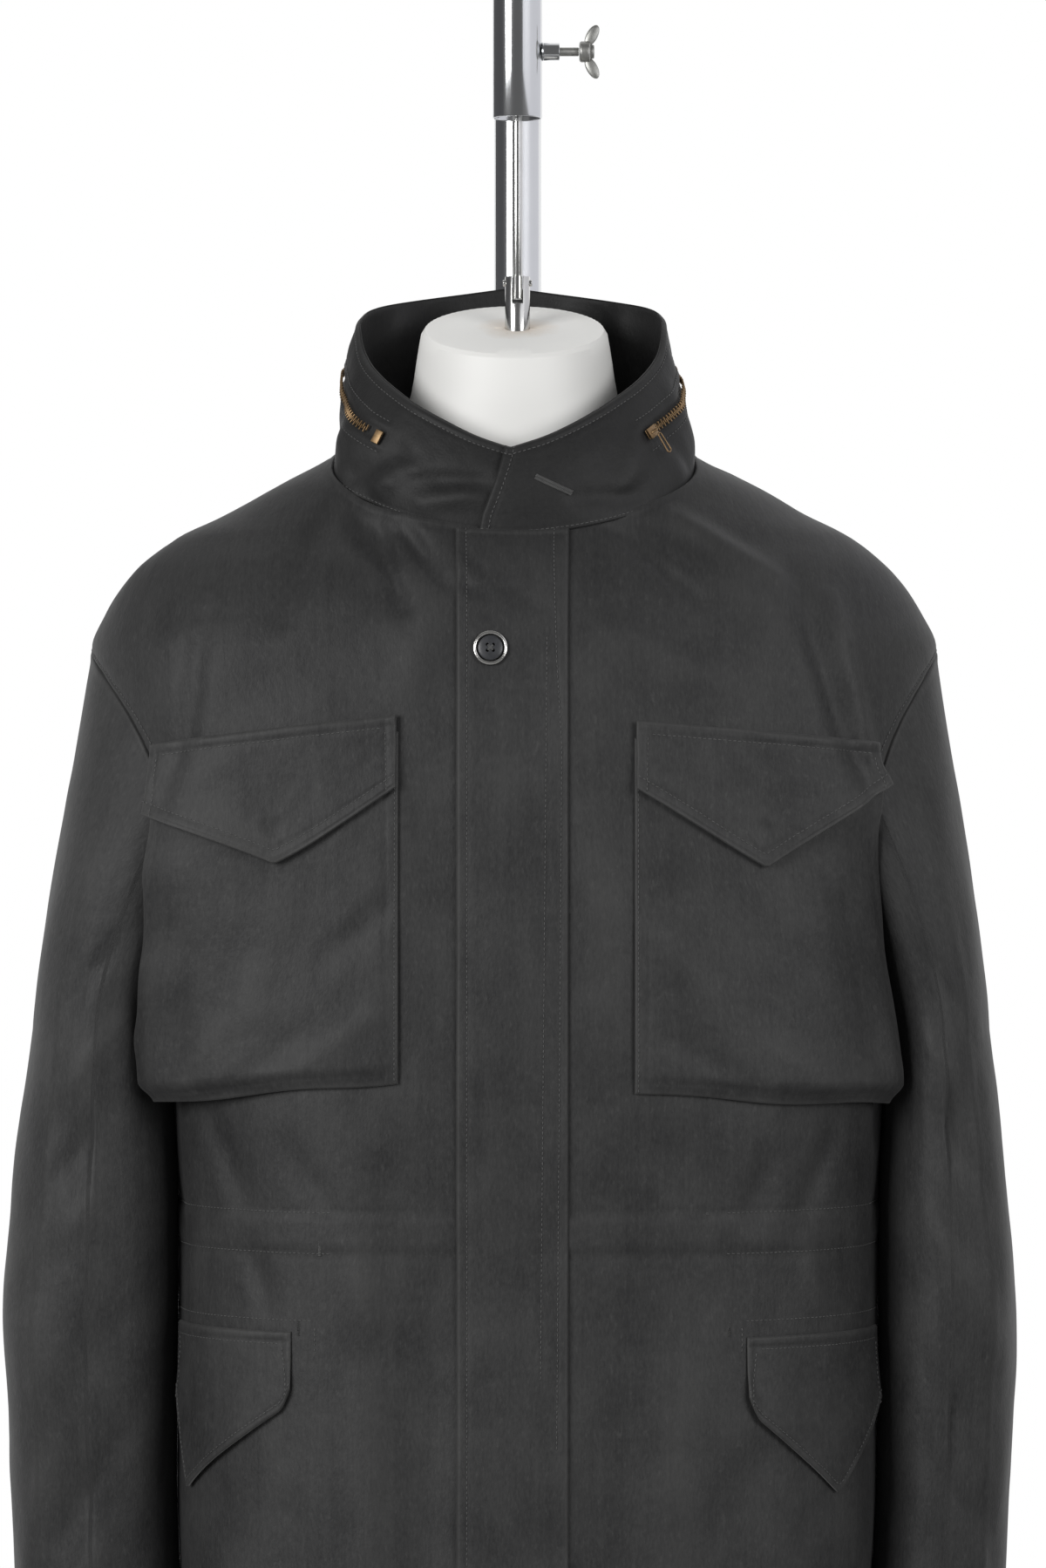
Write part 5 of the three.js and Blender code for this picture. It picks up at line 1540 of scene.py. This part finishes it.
def thread_mesh(name, lines):
    """One mesh of pods: two points and two rings each."""
    parts = [thread_points(points, normals) for points, normals in lines]
    centre, along, normal = (np.concatenate([part[k] for part in parts]) for k in range(3))
    across = np.cross(normal, along)
    across /= np.linalg.norm(across, axis=1, keepdims=True)
    normal = np.cross(along, across)
    turns = np.arange(STITCH_SIDES) * 2 * math.pi / STITCH_SIDES
    ring = across[:, None] * np.cos(turns)[None, :, None] + normal[:, None] * np.sin(turns)[None, :, None]
    ring = ring * STITCH_RADIUS
    low = centre[:, None] - along[:, None] * STITCH_HALF * 0.62 + ring
    high = centre[:, None] + along[:, None] * STITCH_HALF * 0.62 + ring
    tips = np.stack([centre - along * STITCH_HALF, centre + along * STITCH_HALF], axis=1)
    points = np.concatenate([tips, low, high], axis=1)
    each = points.shape[1]
    faces = []
    for k in range(STITCH_SIDES):
        n = (k + 1) % STITCH_SIDES
        faces.append([0, 2 + n, 2 + k])
        faces.append([2 + k, 2 + n, 2 + STITCH_SIDES + n, 2 + STITCH_SIDES + k])
        faces.append([1, 2 + STITCH_SIDES + k, 2 + STITCH_SIDES + n])
    every = [[corner + each * i for corner in face] for i in range(len(centre)) for face in faces]
    piece = make_piece(name, points.reshape(-1, 3), every)
    turn_out(piece)
    return piece, len(centre)


def thread_material():
    g = Graph("sewing thread")
    shade = g.noise(g.place(source="Object"), 300, 2)
    g.set(
        Base_Color=g.mix(shade, (0.055, 0.055, 0.055, 1), (0.13, 0.13, 0.128, 1)),
        Roughness=0.55,
        Specular_IOR_Level=0.4,
    )
    return g.material


THREAD = thread_material()

# %% Bartacks and the collar's buttonhole
TACK_PITCH = 0.75
TACK_LENGTH = 9
HOLE_FROM = (6.4, 0.57)
HOLE_TO = (14.6, 0.3)
HOLE_SIDE = 0.9


def single(node, place, along, normal):
    """One stitch of its own: a short line that holds just one."""
    along = along / np.linalg.norm(along)
    ends = np.array([place - along * STITCH_PITCH, place + along * STITCH_PITCH * 0.6])
    THREADS.setdefault(node, []).append((ends, np.array([normal, normal])))


def on_front(x, z):
    """A point of the front's cloth, and the way out of it."""
    turn = np.asarray(turn_at_x(x, z))
    level = np.asarray(float(z))
    at = body_point(turn, level, body_wrinkles(turn, level))
    return at, body_point(turn, level, 1.0) - body_point(turn, level, 0.0)


for side, node in ((-1, "front_left"), (1, "front_right")):
    channel_end = (CHANNEL_FROM_X, CHANNEL_BOTTOM_Z - 1, CHANNEL_TOP_Z + 1)
    hip_end = (HIP_STITCH_X, HIP_STITCH_Z - TACK_LENGTH, HIP_STITCH_Z)
    for x, low, high in (channel_end, hip_end):
        for z in np.arange(low, min(high, low + TACK_LENGTH), TACK_PITCH):
            place, normal = on_front(side * x, z)
            single(node, place, np.array([1.0, 0, 0]), normal)
        for z in np.arange(max(low, high - TACK_LENGTH), high, TACK_PITCH):
            place, normal = on_front(side * x, z)
            single(node, place, np.array([1.0, 0, 0]), normal)

hole_low = collar_point(HOLE_TO[0], HOLE_TO[1], LAP)
hole_high = collar_point(HOLE_FROM[0], HOLE_FROM[1], LAP)
hole_way = (hole_low - hole_high) / np.linalg.norm(hole_low - hole_high)
for share in np.arange(0, 1.001, TACK_PITCH / np.linalg.norm(hole_low - hole_high)):
    angle, level = mix(HOLE_FROM[0], HOLE_TO[0], share), mix(HOLE_FROM[1], HOLE_TO[1], share)
    waves = float(collar_wrinkles(np.asarray(angle), np.asarray(level)))
    place = collar_point(angle, level, LAP + max(waves, 0) + 0.3)
    normal = np.array([math.sin(math.radians(angle)), -math.cos(math.radians(angle)), 0])
    across = np.cross(normal, hole_way)
    for way in (1, -1):
        single("collar", place + across * way * HOLE_SIDE, across * 0.8 + hole_way * 0.2, normal)
print("bartacks and a buttonhole")

# %% Lay every thread
stitch_count = 0
for piece, node, facts in SHEETS:
    if node in THREADS:
        threads, count = thread_mesh(node + "_stitches", THREADS[node])
        threads.data.materials.append(THREAD)
        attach(threads, JACKET)
        stitch_count += count
print(stitch_count, "stitches")

# %% [markdown]
# ## Finishes of the hardware
# The tubes are chromed, the rod and its socket are plain bright steel, and the wing nut is dull zinc. The zip
# has darkened brass. The form is painted matt white, and its top has a brownish stain round the socket.

# %% Metal, paint and button materials


def metal(name, dark, bright, rough, scratches=0.0, size=90):
    """A metal with cloudy tone and, if asked, fine scratches along its length."""
    g = Graph(name)
    cloud = g.noise(g.place(source="Object"), size, 4, 0.6)
    fine = g.noise(g.place((1, 1, 0.05), "Object"), 1400, 2)
    g.set(
        Base_Color=g.mix(cloud, dark, bright),
        Metallic=1.0,
        Roughness=rough + cloud * rough * 0.5 + fine * scratches,
        Normal=g.bump(fine, scratches * 2, 0.00005),
    )
    return g.material


CHROME = metal("chrome", (0.66, 0.67, 0.69, 1), (0.76, 0.77, 0.78, 1), 0.1, 0.0, 20)
STEEL = metal("bright steel", (0.56, 0.56, 0.55, 1), (0.72, 0.72, 0.71, 1), 0.13, 0.06)
ZINC = metal("dull zinc", (0.33, 0.33, 0.315, 1), (0.5, 0.5, 0.475, 1), 0.34, 0.05, 400)
BRASS = metal("darkened brass", (0.12, 0.08, 0.045, 1), (0.42, 0.28, 0.15, 1), 0.36, 0.05, 500)
PLATE = metal("brushed plate", (0.42, 0.42, 0.42, 1), (0.55, 0.55, 0.55, 1), 0.3, 0.08, 30)
RING = metal("button ring", (0.66, 0.65, 0.62, 1), (0.8, 0.79, 0.77, 1), 0.16, 0.03, 200)

SOCKET_AT = (0.002, 0.0, 1.496)


def form_material():
    g = Graph("painted form")
    place = g.place(source="Object")
    away = g.node("ShaderNodeVectorMath", {"operation": "DISTANCE"}, {0: place, 1: SOCKET_AT})["Value"]
    blotch = g.noise(place, 55, 4, 0.6)
    near = g.ramp(away * 26 + blotch * 0.5, (0.42, 1), (0.95, 0))
    speck = g.ramp(g.noise(place, 420, 3, 0.6), (0.66, 0), (0.74, 1))
    colour = g.mix(near * 0.6, (0.93, 0.925, 0.9, 1), (0.7, 0.56, 0.42, 1))
    colour = g.mix(speck * near, colour, (0.36, 0.24, 0.15, 1))
    grain = g.bump(g.noise(place, 700, 2), 0.08, 0.0003)
    g.set(Base_Color=colour, Roughness=0.46 + blotch * 0.1, Normal=grain)
    return g.material


def horn_material():
    g = Graph("dark button")
    place = g.place(source="Object")
    shade = g.noise(place, 240, 3)
    colour = g.mix(shade, (0.02, 0.021, 0.024, 1), (0.055, 0.057, 0.063, 1))
    g.set(Base_Color=colour, Roughness=0.3 + shade * 0.15)
    return g.material


FORM = form_material()
HORN = horn_material()

# %% [markdown]
# ## Modelling the hardware
# Each piece starts from a primitive, is shaped in edit mode and gets real bevels. The tube that carries the
# form is bent by spinning a circle about the middle of the bend, which gives a true arc. A curve with a bevel
# would be another way, but then its wall and its open end would still have to be modelled.

# %% Helpers for modelling


def only(piece):
    """Makes a piece the only one selected."""
    bpy.ops.object.select_all(action="DESELECT")
    piece.select_set(True)
    bpy.context.view_layer.objects.active = piece


def start(kind, name, **settings):
    """Adds a primitive and gives it a name."""
    getattr(bpy.ops.mesh, f"primitive_{kind}_add")(**settings)
    piece = bpy.context.object
    piece.name = name
    return piece


def torus(name, middle_radius, wire_radius, round_steps, wire_steps):
    """A ring of round wire, in millimetres."""
    sizes = {"major_radius": middle_radius * MM, "minor_radius": wire_radius * MM}
    return start("torus", name, major_segments=round_steps, minor_segments=wire_steps, **sizes)


def cylinder(name, radius, low, high, sides=48):
    """A standing cylinder between two heights, in millimetres."""
    middle = (0, 0, (low + high) / 2 * MM)
    depth = (high - low) * MM
    return start("cylinder", name, vertices=sides, radius=radius * MM, depth=depth, location=middle)


def modify(piece, kind, **settings):
    """Adds a modifier, sets it and applies it."""
    only(piece)
    modifier = piece.modifiers.new(kind.lower(), kind)
    for key, value in settings.items():
        setattr(modifier, key, value)
    bpy.ops.object.modifier_apply(modifier=modifier.name)


def round_edges(piece, width, segments=3, angle=30):
    limit = math.radians(angle)
    modify(piece, "BEVEL", width=width * MM, segments=segments, limit_method="ANGLE", angle_limit=limit)


def cut(piece, tool):
    """Cuts a tool's shape out of a piece."""
    modify(piece, "BOOLEAN", operation="DIFFERENCE", object=tool, solver="EXACT")
    bpy.data.objects.remove(tool)


def join(first, *others):
    only(first)
    for piece in others:
        piece.select_set(True)
    bpy.ops.object.join()
    return first


def done(piece, material, body, nodes=(), angle=35):
    """Applies a piece's placing, shades it and puts it in its node's place."""
    only(piece)
    bpy.ops.object.transform_apply(location=True, rotation=True, scale=True)
    bpy.ops.object.mode_set(mode="EDIT")
    bpy.ops.mesh.select_all(action="SELECT")
    bpy.ops.mesh.remove_doubles(threshold=0.00001)
    bpy.ops.mesh.normals_make_consistent(inside=False)
    bpy.ops.object.mode_set(mode="OBJECT")
    bpy.ops.object.shade_smooth_by_angle(angle=math.radians(angle))
    piece.data.materials.clear()
    piece.data.materials.append(material)
    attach(piece, body)
    if nodes:
        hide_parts(*nodes)
    print(piece.name, len(piece.data.polygons), "faces")


def frame_matrix(centre, along, up, out):
    """A placing from a point in millimetres and three directions."""
    rows = Matrix((along, up, out)).transposed().to_4x4()
    rows.translation = Vector(centre) * MM
    return rows


# %% Base and bent tube
STAND_X = 2
TUBE_RADIUS = 15.6
TUBE_WALL = 1.5
COLUMN_Y = 175
HANG_TUBE_END_Z = 1628
BEND_Z = 1736
BASE_THICKNESS = 8
BASE_WIDTH = 440
BASE_DEPTH = 470
BASE_CENTRE_Y = 10
BASE_CORNER = 45

base_at = (STAND_X * MM, BASE_CENTRE_Y * MM, BASE_THICKNESS / 2 * MM)
base = start("cube", "base_plate", size=1, location=base_at)
base.scale = (BASE_WIDTH * MM, BASE_DEPTH * MM, BASE_THICKNESS * MM)
only(base)
bpy.ops.object.transform_apply(location=False, rotation=False, scale=True)
bpy.ops.object.mode_set(mode="EDIT")
bpy.ops.mesh.select_mode(type="EDGE")
bpy.ops.mesh.select_all(action="DESELECT")
bpy.ops.object.mode_set(mode="OBJECT")
corners = base.data.vertices
for edge in base.data.edges:
    low, high = (corners[v].co.z for v in edge.vertices)
    edge.select = abs(high - low) > BASE_THICKNESS * MM / 2
bpy.ops.object.mode_set(mode="EDIT")
bpy.ops.mesh.bevel(offset=BASE_CORNER * MM, segments=12)
bpy.ops.object.mode_set(mode="OBJECT")
round_edges(base, 1.2, 3, 40)
done(base, PLATE, "stand", ["stand_base"])

start_at = (STAND_X * MM, COLUMN_Y * MM, (BASE_THICKNESS + SEAM) * MM)
tube = start("circle", "bent_tube", vertices=56, radius=TUBE_RADIUS * MM, location=start_at)
only(tube)
bpy.ops.object.transform_apply(location=True, rotation=True, scale=True)
bpy.ops.object.mode_set(mode="EDIT")
bpy.ops.mesh.select_all(action="SELECT")
rise = (0, 0, (BEND_Z - BASE_THICKNESS - SEAM) * MM)
bpy.ops.mesh.extrude_region_move(TRANSFORM_OT_translate={"value": rise})
bend_at = (STAND_X * MM, COLUMN_Y / 2 * MM, BEND_Z * MM)
bpy.ops.mesh.spin(steps=32, angle=-math.pi, center=bend_at, axis=(1, 0, 0))
fall = (0, 0, (HANG_TUBE_END_Z - BEND_Z) * MM)
bpy.ops.mesh.extrude_region_move(TRANSFORM_OT_translate={"value": fall})
bpy.ops.mesh.select_all(action="SELECT")
bpy.ops.mesh.remove_doubles(threshold=0.00001)
bpy.ops.mesh.normals_make_consistent(inside=False)
bpy.ops.object.mode_set(mode="OBJECT")
top_of_tube = max(v.co.z for v in tube.data.vertices)
print("tube top", round(top_of_tube / MM), "mm")
modify(tube, "SOLIDIFY", thickness=TUBE_WALL * MM, offset=-1)
round_edges(tube, 0.35, 2, 50)
done(tube, CHROME, "stand", ["stand_column", "stand_crook", "hang_tube"])

# %% Clamp: boss, screw and wing nut
SCREW_Z = 1670
SCREW_RADIUS = 2.75
BOSS_RADIUS = 5.5
BOSS_END = 26.6
SCREW_FROM = 3.4
SCREW_TO = 38.7
ACROSS = Matrix.Rotation(math.radians(90), 4, "Y")
CLAMP = Matrix.Translation((STAND_X * MM, 0, SCREW_Z * MM)) @ ACROSS

boss = cylinder("clamp_boss_round", BOSS_RADIUS, TUBE_RADIUS + SEAM, BOSS_END, 40)
cut(boss, cylinder("boss_bore", SCREW_RADIUS + SEAM, 0, 40, 32))
round_edges(boss, 0.5)
boss.matrix_world = CLAMP @ boss.matrix_world
done(boss, CHROME, "stand", ["clamp_boss"])

weld = torus("clamp_weld", 5.2, 0.7, 40, 10)
weld.matrix_world = CLAMP @ Matrix.Translation((0, 0, 16.0 * MM))
done(weld, CHROME, "stand")

screw = cylinder("clamp_screw_thread", SCREW_RADIUS, SCREW_FROM, SCREW_TO, 36)
only(screw)
bpy.ops.object.transform_apply(location=True, rotation=True, scale=True)
round_edges(screw, 0.5, 2)
screw.matrix_world = CLAMP
done(screw, ZINC, "clamp_screw", ["clamp_screw"])

HUB_FROM = 39
HUB_TO = 46
hub = cylinder("wing_nut", 6.6, HUB_FROM, HUB_TO, 40)
round_edges(hub, 1.6, 4)
crown = cylinder("crown", 4.4, HUB_TO - 1, HUB_TO + 2.5, 32)
round_edges(crown, 0.8, 2)
ears = []
for way in (1, -1):
    ear = start("uv_sphere", "ear", segments=32, ring_count=20, radius=1)
    ear.scale = (3.6 * MM, 1.6 * MM, 7.4 * MM)
    lean = Matrix.Rotation(math.radians(28 * way), 4, "Y")
    place = Matrix.Translation((-10.2 * way * MM, 0, (HUB_TO + 1.0) * MM))
    turn = Matrix.Rotation(math.radians(-90 * way), 4, "Y")
    ear.matrix_world = place @ lean @ turn @ Matrix.Diagonal((*ear.scale, 1))
    ears.append(ear)
wing = join(hub, crown, *ears)
wing.matrix_world = CLAMP @ wing.matrix_world
done(wing, ZINC, "clamp_screw", ["wing_head"], 50)

# %% Rod and socket
ROD_RADIUS = 3.1
ROD_FOOT_Z = 1514
ROD_TOP_Z = 1712
SOCKET_RADIUS = 7.9
SOCKET_LOW_Z = 1487
SOCKET_TOP_Z = 1528
SLOT_FLOOR_Z = 1511
PIN_Z = 1524
PIN_RADIUS = 2.1
PIN_LENGTH = 2.4
CAP_Z = 1496

rod = cylinder("hanging_rod", ROD_RADIUS, ROD_FOOT_Z, ROD_TOP_Z, 40)
round_edges(rod, 0.4, 2)
rod.location.x = STAND_X * MM
done(rod, STEEL, "hang_rod", ["hang_rod"])

socket = cylinder("forked_socket", SOCKET_RADIUS, SOCKET_LOW_Z, SOCKET_TOP_Z, 48)
slot_at = (0, 0, (SLOT_FLOOR_Z + 20) * MM)
slot_tool = start("cube", "slot_tool", size=1, location=slot_at)
slot_tool.scale = (2 * (ROD_RADIUS + SEAM) * MM, 40 * MM, 40 * MM)
cut(socket, slot_tool)
round_edges(socket, 0.5, 2, 40)
pins = []
for way in (1, -1):
    pin_at = (way * (SOCKET_RADIUS + 0.2) * MM, 0, PIN_Z * MM)
    turned = (0, math.radians(90), 0)
    size = {"radius": PIN_RADIUS * MM, "depth": PIN_LENGTH * MM}
    pin = start("cylinder", "pin", vertices=24, location=pin_at, rotation=turned, **size)
    round_edges(pin, 0.7, 3)
    pins.append(pin)
socket = join(socket, *pins)
socket.location.x += STAND_X * MM
done(socket, STEEL, JACKET, ["neck_socket"])

# %% [markdown]
# ## The display torso
# The form is drawn up ring by ring, as a potter pulls a wall: each ring is extruded from the one below,
# moved and resized. The last ring is tilted, because the cap of the neck slopes down to the front.

# %% Torso
TORSO_SECTIONS = [
    (730, 150, 92, 88),
    (738, 166, 104, 98),
    (860, 178, 112, 104),
    (1000, 160, 100, 92),
    (1130, 176, 112, 104),
    (1230, 186, 114, 108),
    (1300, 187, 105, 103),
    (1345, 189, 87, 90),
    (1372, 174, 75, 82),
    (1392, 150, 67, 74),
    (1409, 117, 61, 67),
    (1420, 88, 61, 65),
    (1434, 71, 60.5, 64),
    (1454, 64.5, 60.8, 61.8),
    (1474, 62, 59.6, 59.6),
    (1494, 58.6, 58.6, 58.6),
    (1496, 57.6, 57.6, 57.6),
]
CAP_TILT = 20
TILT_FROM_Z = 1450
SLIT_WIDTH = 29
SLIT_GAP = 2.0


def ring_centre(row):
    return Vector((0, (row[3] - row[2]) / 2 * MM, row[0] * MM))


first = TORSO_SECTIONS[0]
torso = start("circle", "torso_form", vertices=72, radius=MM, fill_type="NGON", location=ring_centre(first))
torso.scale = (first[1], (first[2] + first[3]) / 2, 1)
only(torso)
bpy.ops.object.transform_apply(location=True, rotation=True, scale=True)
bpy.ops.object.mode_set(mode="EDIT")
bpy.ops.mesh.select_mode(type="VERT")
bpy.ops.mesh.select_all(action="SELECT")
for below, row in zip(TORSO_SECTIONS, TORSO_SECTIONS[1:]):
    step = ring_centre(row) - ring_centre(below)
    bpy.ops.mesh.extrude_region_move(TRANSFORM_OT_translate={"value": step})
    wider = row[1] / below[1]
    deeper = (row[2] + row[3]) / (below[2] + below[3])
    bpy.ops.transform.resize(value=(wider, deeper, 1), center_override=ring_centre(row))
bpy.ops.object.mode_set(mode="OBJECT")
for vertex in torso.data.vertices:
    tilt = min(1, max(0, (vertex.co.z / MM - TILT_FROM_Z) / (CAP_Z - TILT_FROM_Z)))
    vertex.co.z += math.tan(math.radians(CAP_TILT * tilt)) * vertex.co.y
only(torso)
bpy.ops.object.mode_set(mode="EDIT")
bpy.ops.mesh.select_all(action="SELECT")
bpy.ops.mesh.normals_make_consistent(inside=False)
bpy.ops.object.mode_set(mode="OBJECT")
modify(torso, "SUBSURF", levels=1, render_levels=1)
well = cylinder("well", SOCKET_RADIUS + SEAM, SOCKET_LOW_Z - SEAM, CAP_Z + 40)
well.location.x = STAND_X * MM
cut(torso, well)
slit = start("cube", "slit", size=1, location=(STAND_X * MM, 0, CAP_Z * MM))
slit.scale = (SLIT_WIDTH * MM, SLIT_GAP * MM, 5 * MM)
cut(torso, slit)
done(torso, FORM, JACKET, ["display_torso"], 28)

# %% [markdown]
# ## Zip
# The chain is closed: teeth from both tapes lie in turn across the middle. Each tooth is a bevelled block,
# modelled once and laid along the collar, so that it follows every wave of the cloth. It ends in a stop on
# one side and in a slider with a wire pull on the other.

# %% Teeth
TOOTH_PITCH = 1.7
TOOTH_LENGTH = 4.0
TOOTH_OFFSET = 0.85


def collar_frame(angle, share, out=0.0):
    """A place on the collar's cloth: x along it, y up it, z out of it."""
    at = lambda a, s: collar_point(a, s, collar_wrinkles(np.asarray(float(a)), s) + out)
    along = at(angle + 1, share) - at(angle - 1, share)
    up = at(angle, share + 0.05) - at(angle, share - 0.05)
    along /= np.linalg.norm(along)
    outward = np.cross(along, up / np.linalg.norm(up))
    outward /= np.linalg.norm(outward)
    return at(angle, share), along, np.cross(outward, along), outward


tooth = start("cube", "tooth", size=1)
tooth.scale = (1.0 * MM, TOOTH_LENGTH * MM, 1.3 * MM)
only(tooth)
bpy.ops.object.transform_apply(location=False, rotation=False, scale=True)
round_edges(tooth, 0.28, 1, 40)
shape = np.array([v.co[:] for v in tooth.data.vertices]) / MM
tooth_faces = [list(p.vertices) for p in tooth.data.polygons]
bpy.data.objects.remove(tooth)

chain_points = []
chain_faces = []
angle = ZIP_STOP_ANGLE - 3.0
side = 1
while angle > ZIP_SLIDER_ANGLE - 360 + 3:
    centre, along, up, out = collar_frame(angle, ZIP_SHARE, 1.3)
    middle = centre + up * side * TOOTH_OFFSET
    start_index = len(chain_points) * len(shape)
    chain_points.append(middle + shape @ np.array([along, up, out]))
    chain_faces += [[v + start_index for v in face] for face in tooth_faces]
    radius = np.hypot(centre[0] - RIM_SHIFT, centre[1])
    angle -= math.degrees(TOOTH_PITCH / radius)
    side = -side
chain = make_piece("zip_teeth", np.concatenate(chain_points), chain_faces, smooth_shading=False)
chain.data.materials.append(BRASS)
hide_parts("collar_zip")
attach(chain, JACKET)
print(len(chain_points), "teeth")


# %% Stop, slider and pull


def block(name, size, at=(0, 0, 0), round_by=0.4):
    piece = start("cube", name, size=1, location=[c * MM for c in at])
    piece.scale = [c * MM for c in size]
    only(piece)
    bpy.ops.object.transform_apply(location=True, rotation=False, scale=True)
    round_edges(piece, round_by, 2, 40)
    return piece


stop = block("zip_end_stop", (5.4, 8.6, 2.0), (0, 0, 1.1), 0.5)
stop.matrix_world = frame_matrix(*collar_frame(ZIP_STOP_ANGLE + 2, ZIP_SHARE - 0.02, 0.5))
done(stop, BRASS, JACKET, ["zip_stop"])

slider_frame = frame_matrix(*collar_frame(ZIP_SLIDER_ANGLE, ZIP_SHARE, 0.4))
slider = block("zip_slider_body", (9.5, 7.0, 1.1), (0, 0, 2.2), 0.5)
slider = join(slider, block("slider_back", (9.5, 6.4, 0.9), (0, 0, 0.4), 0.4))
slider = join(slider, block("slider_neck", (2.2, 2.2, 1.6), (3.2, 0, 1.3), 0.3))
bridge = torus("bridge", 2.7, 0.6, 28, 10)
bridge.matrix_world = Matrix.Translation((0, 0, 2.7 * MM)) @ Matrix.Rotation(math.radians(90), 4, "X")
slider = join(slider, bridge)
slider.matrix_world = slider_frame
done(slider, BRASS, JACKET, ["zip_slider"])

PULL_LENGTH = 14.5
PULL_HALF_WIDTH = 1.7
PULL_WIRE = 0.5
PULL_AT = (0, -4.2, 5.4)
pull = torus("zip_pull_loop", PULL_HALF_WIDTH, PULL_WIRE, 36, 12)
for vertex in pull.data.vertices:
    low_end = vertex.co.y < 0
    vertex.co.y -= (PULL_LENGTH - 2 * (PULL_HALF_WIDTH + PULL_WIRE)) * MM if low_end else 0
for vertex in pull.data.vertices:
    vertex.co.x *= 1 + 0.35 * min(1, max(0, -vertex.co.y / (PULL_LENGTH * MM)))
pull.matrix_world = slider_frame @ Matrix.Translation([c * MM for c in PULL_AT])
done(pull, BRASS, "zip_pull", ["zip_pull"])

# %% [markdown]
# ## Button
# A domed disc with four holes sits in a thin bright ring, and is sewn on with a cross of thread.

# %% Button
BUTTON_OUT = 3.4
RING_RADIUS = 9.5
RING_THICKNESS = 1.15
DISC_RADIUS = 7.6
DISC_DOME = 1.3
HOLE_AT = 1.75
HOLE_RADIUS = 1.05


def front_frame(x, z, out):
    """A placing on the front of the body: x along it, y up it, z out of it."""
    at = lambda px, pz: body_point(np.asarray(turn_at_x(px, pz)), np.asarray(float(pz)), out)
    along = at(x + 4, z) - at(x - 4, z)
    up = at(x, z + 4) - at(x, z - 4)
    along /= np.linalg.norm(along)
    outward = np.cross(along, up / np.linalg.norm(up))
    outward /= np.linalg.norm(outward)
    return frame_matrix(at(x, z), along, np.cross(outward, along), outward)


button_frame = front_frame(BUTTON_X, BUTTON_Z, BUTTON_OUT)
ring = torus("button_rim", RING_RADIUS, RING_THICKNESS, 64, 14)
lower = Matrix.Translation((0, 0, 1.3 * MM))
ring.matrix_world = button_frame @ lower
done(ring, RING, JACKET, ["button_ring"])

disc = start("uv_sphere", "button_face", segments=48, ring_count=24, radius=1)
disc.scale = (DISC_RADIUS * MM, DISC_RADIUS * MM, DISC_DOME * MM)
only(disc)
bpy.ops.object.transform_apply(location=False, rotation=False, scale=True)
for across, along in ((1, 1), (1, -1), (-1, 1), (-1, -1)):
    hole = start("cylinder", "hole", vertices=24, radius=HOLE_RADIUS * MM, depth=10 * MM)
    hole.location = (across * HOLE_AT * MM, along * HOLE_AT * MM, 0)
    cut(disc, hole)
round_edges(disc, 0.16, 2, 50)
disc.matrix_world = button_frame @ Matrix.Translation((0, 0, 1.5 * MM))
done(disc, HORN, JACKET, ["button_disc"])

strands = []
for turn in (45, 135):
    for shift in (-0.3, 0.3):
        strand = start("cylinder", "strand", vertices=10, radius=0.28 * MM, depth=2 * 2.3 * MM)
        flat = Matrix.Rotation(math.radians(turn), 4, "Z") @ Matrix.Rotation(math.radians(90), 4, "Y")
        strand.matrix_world = flat @ Matrix.Translation((0, shift * MM, 0))
        strands.append(strand)
cross = join(*strands)
cross.name = "button_thread"
cross.matrix_world = button_frame @ Matrix.Translation((0, 0, 2.75 * MM)) @ cross.matrix_world
done(cross, THREAD, JACKET)
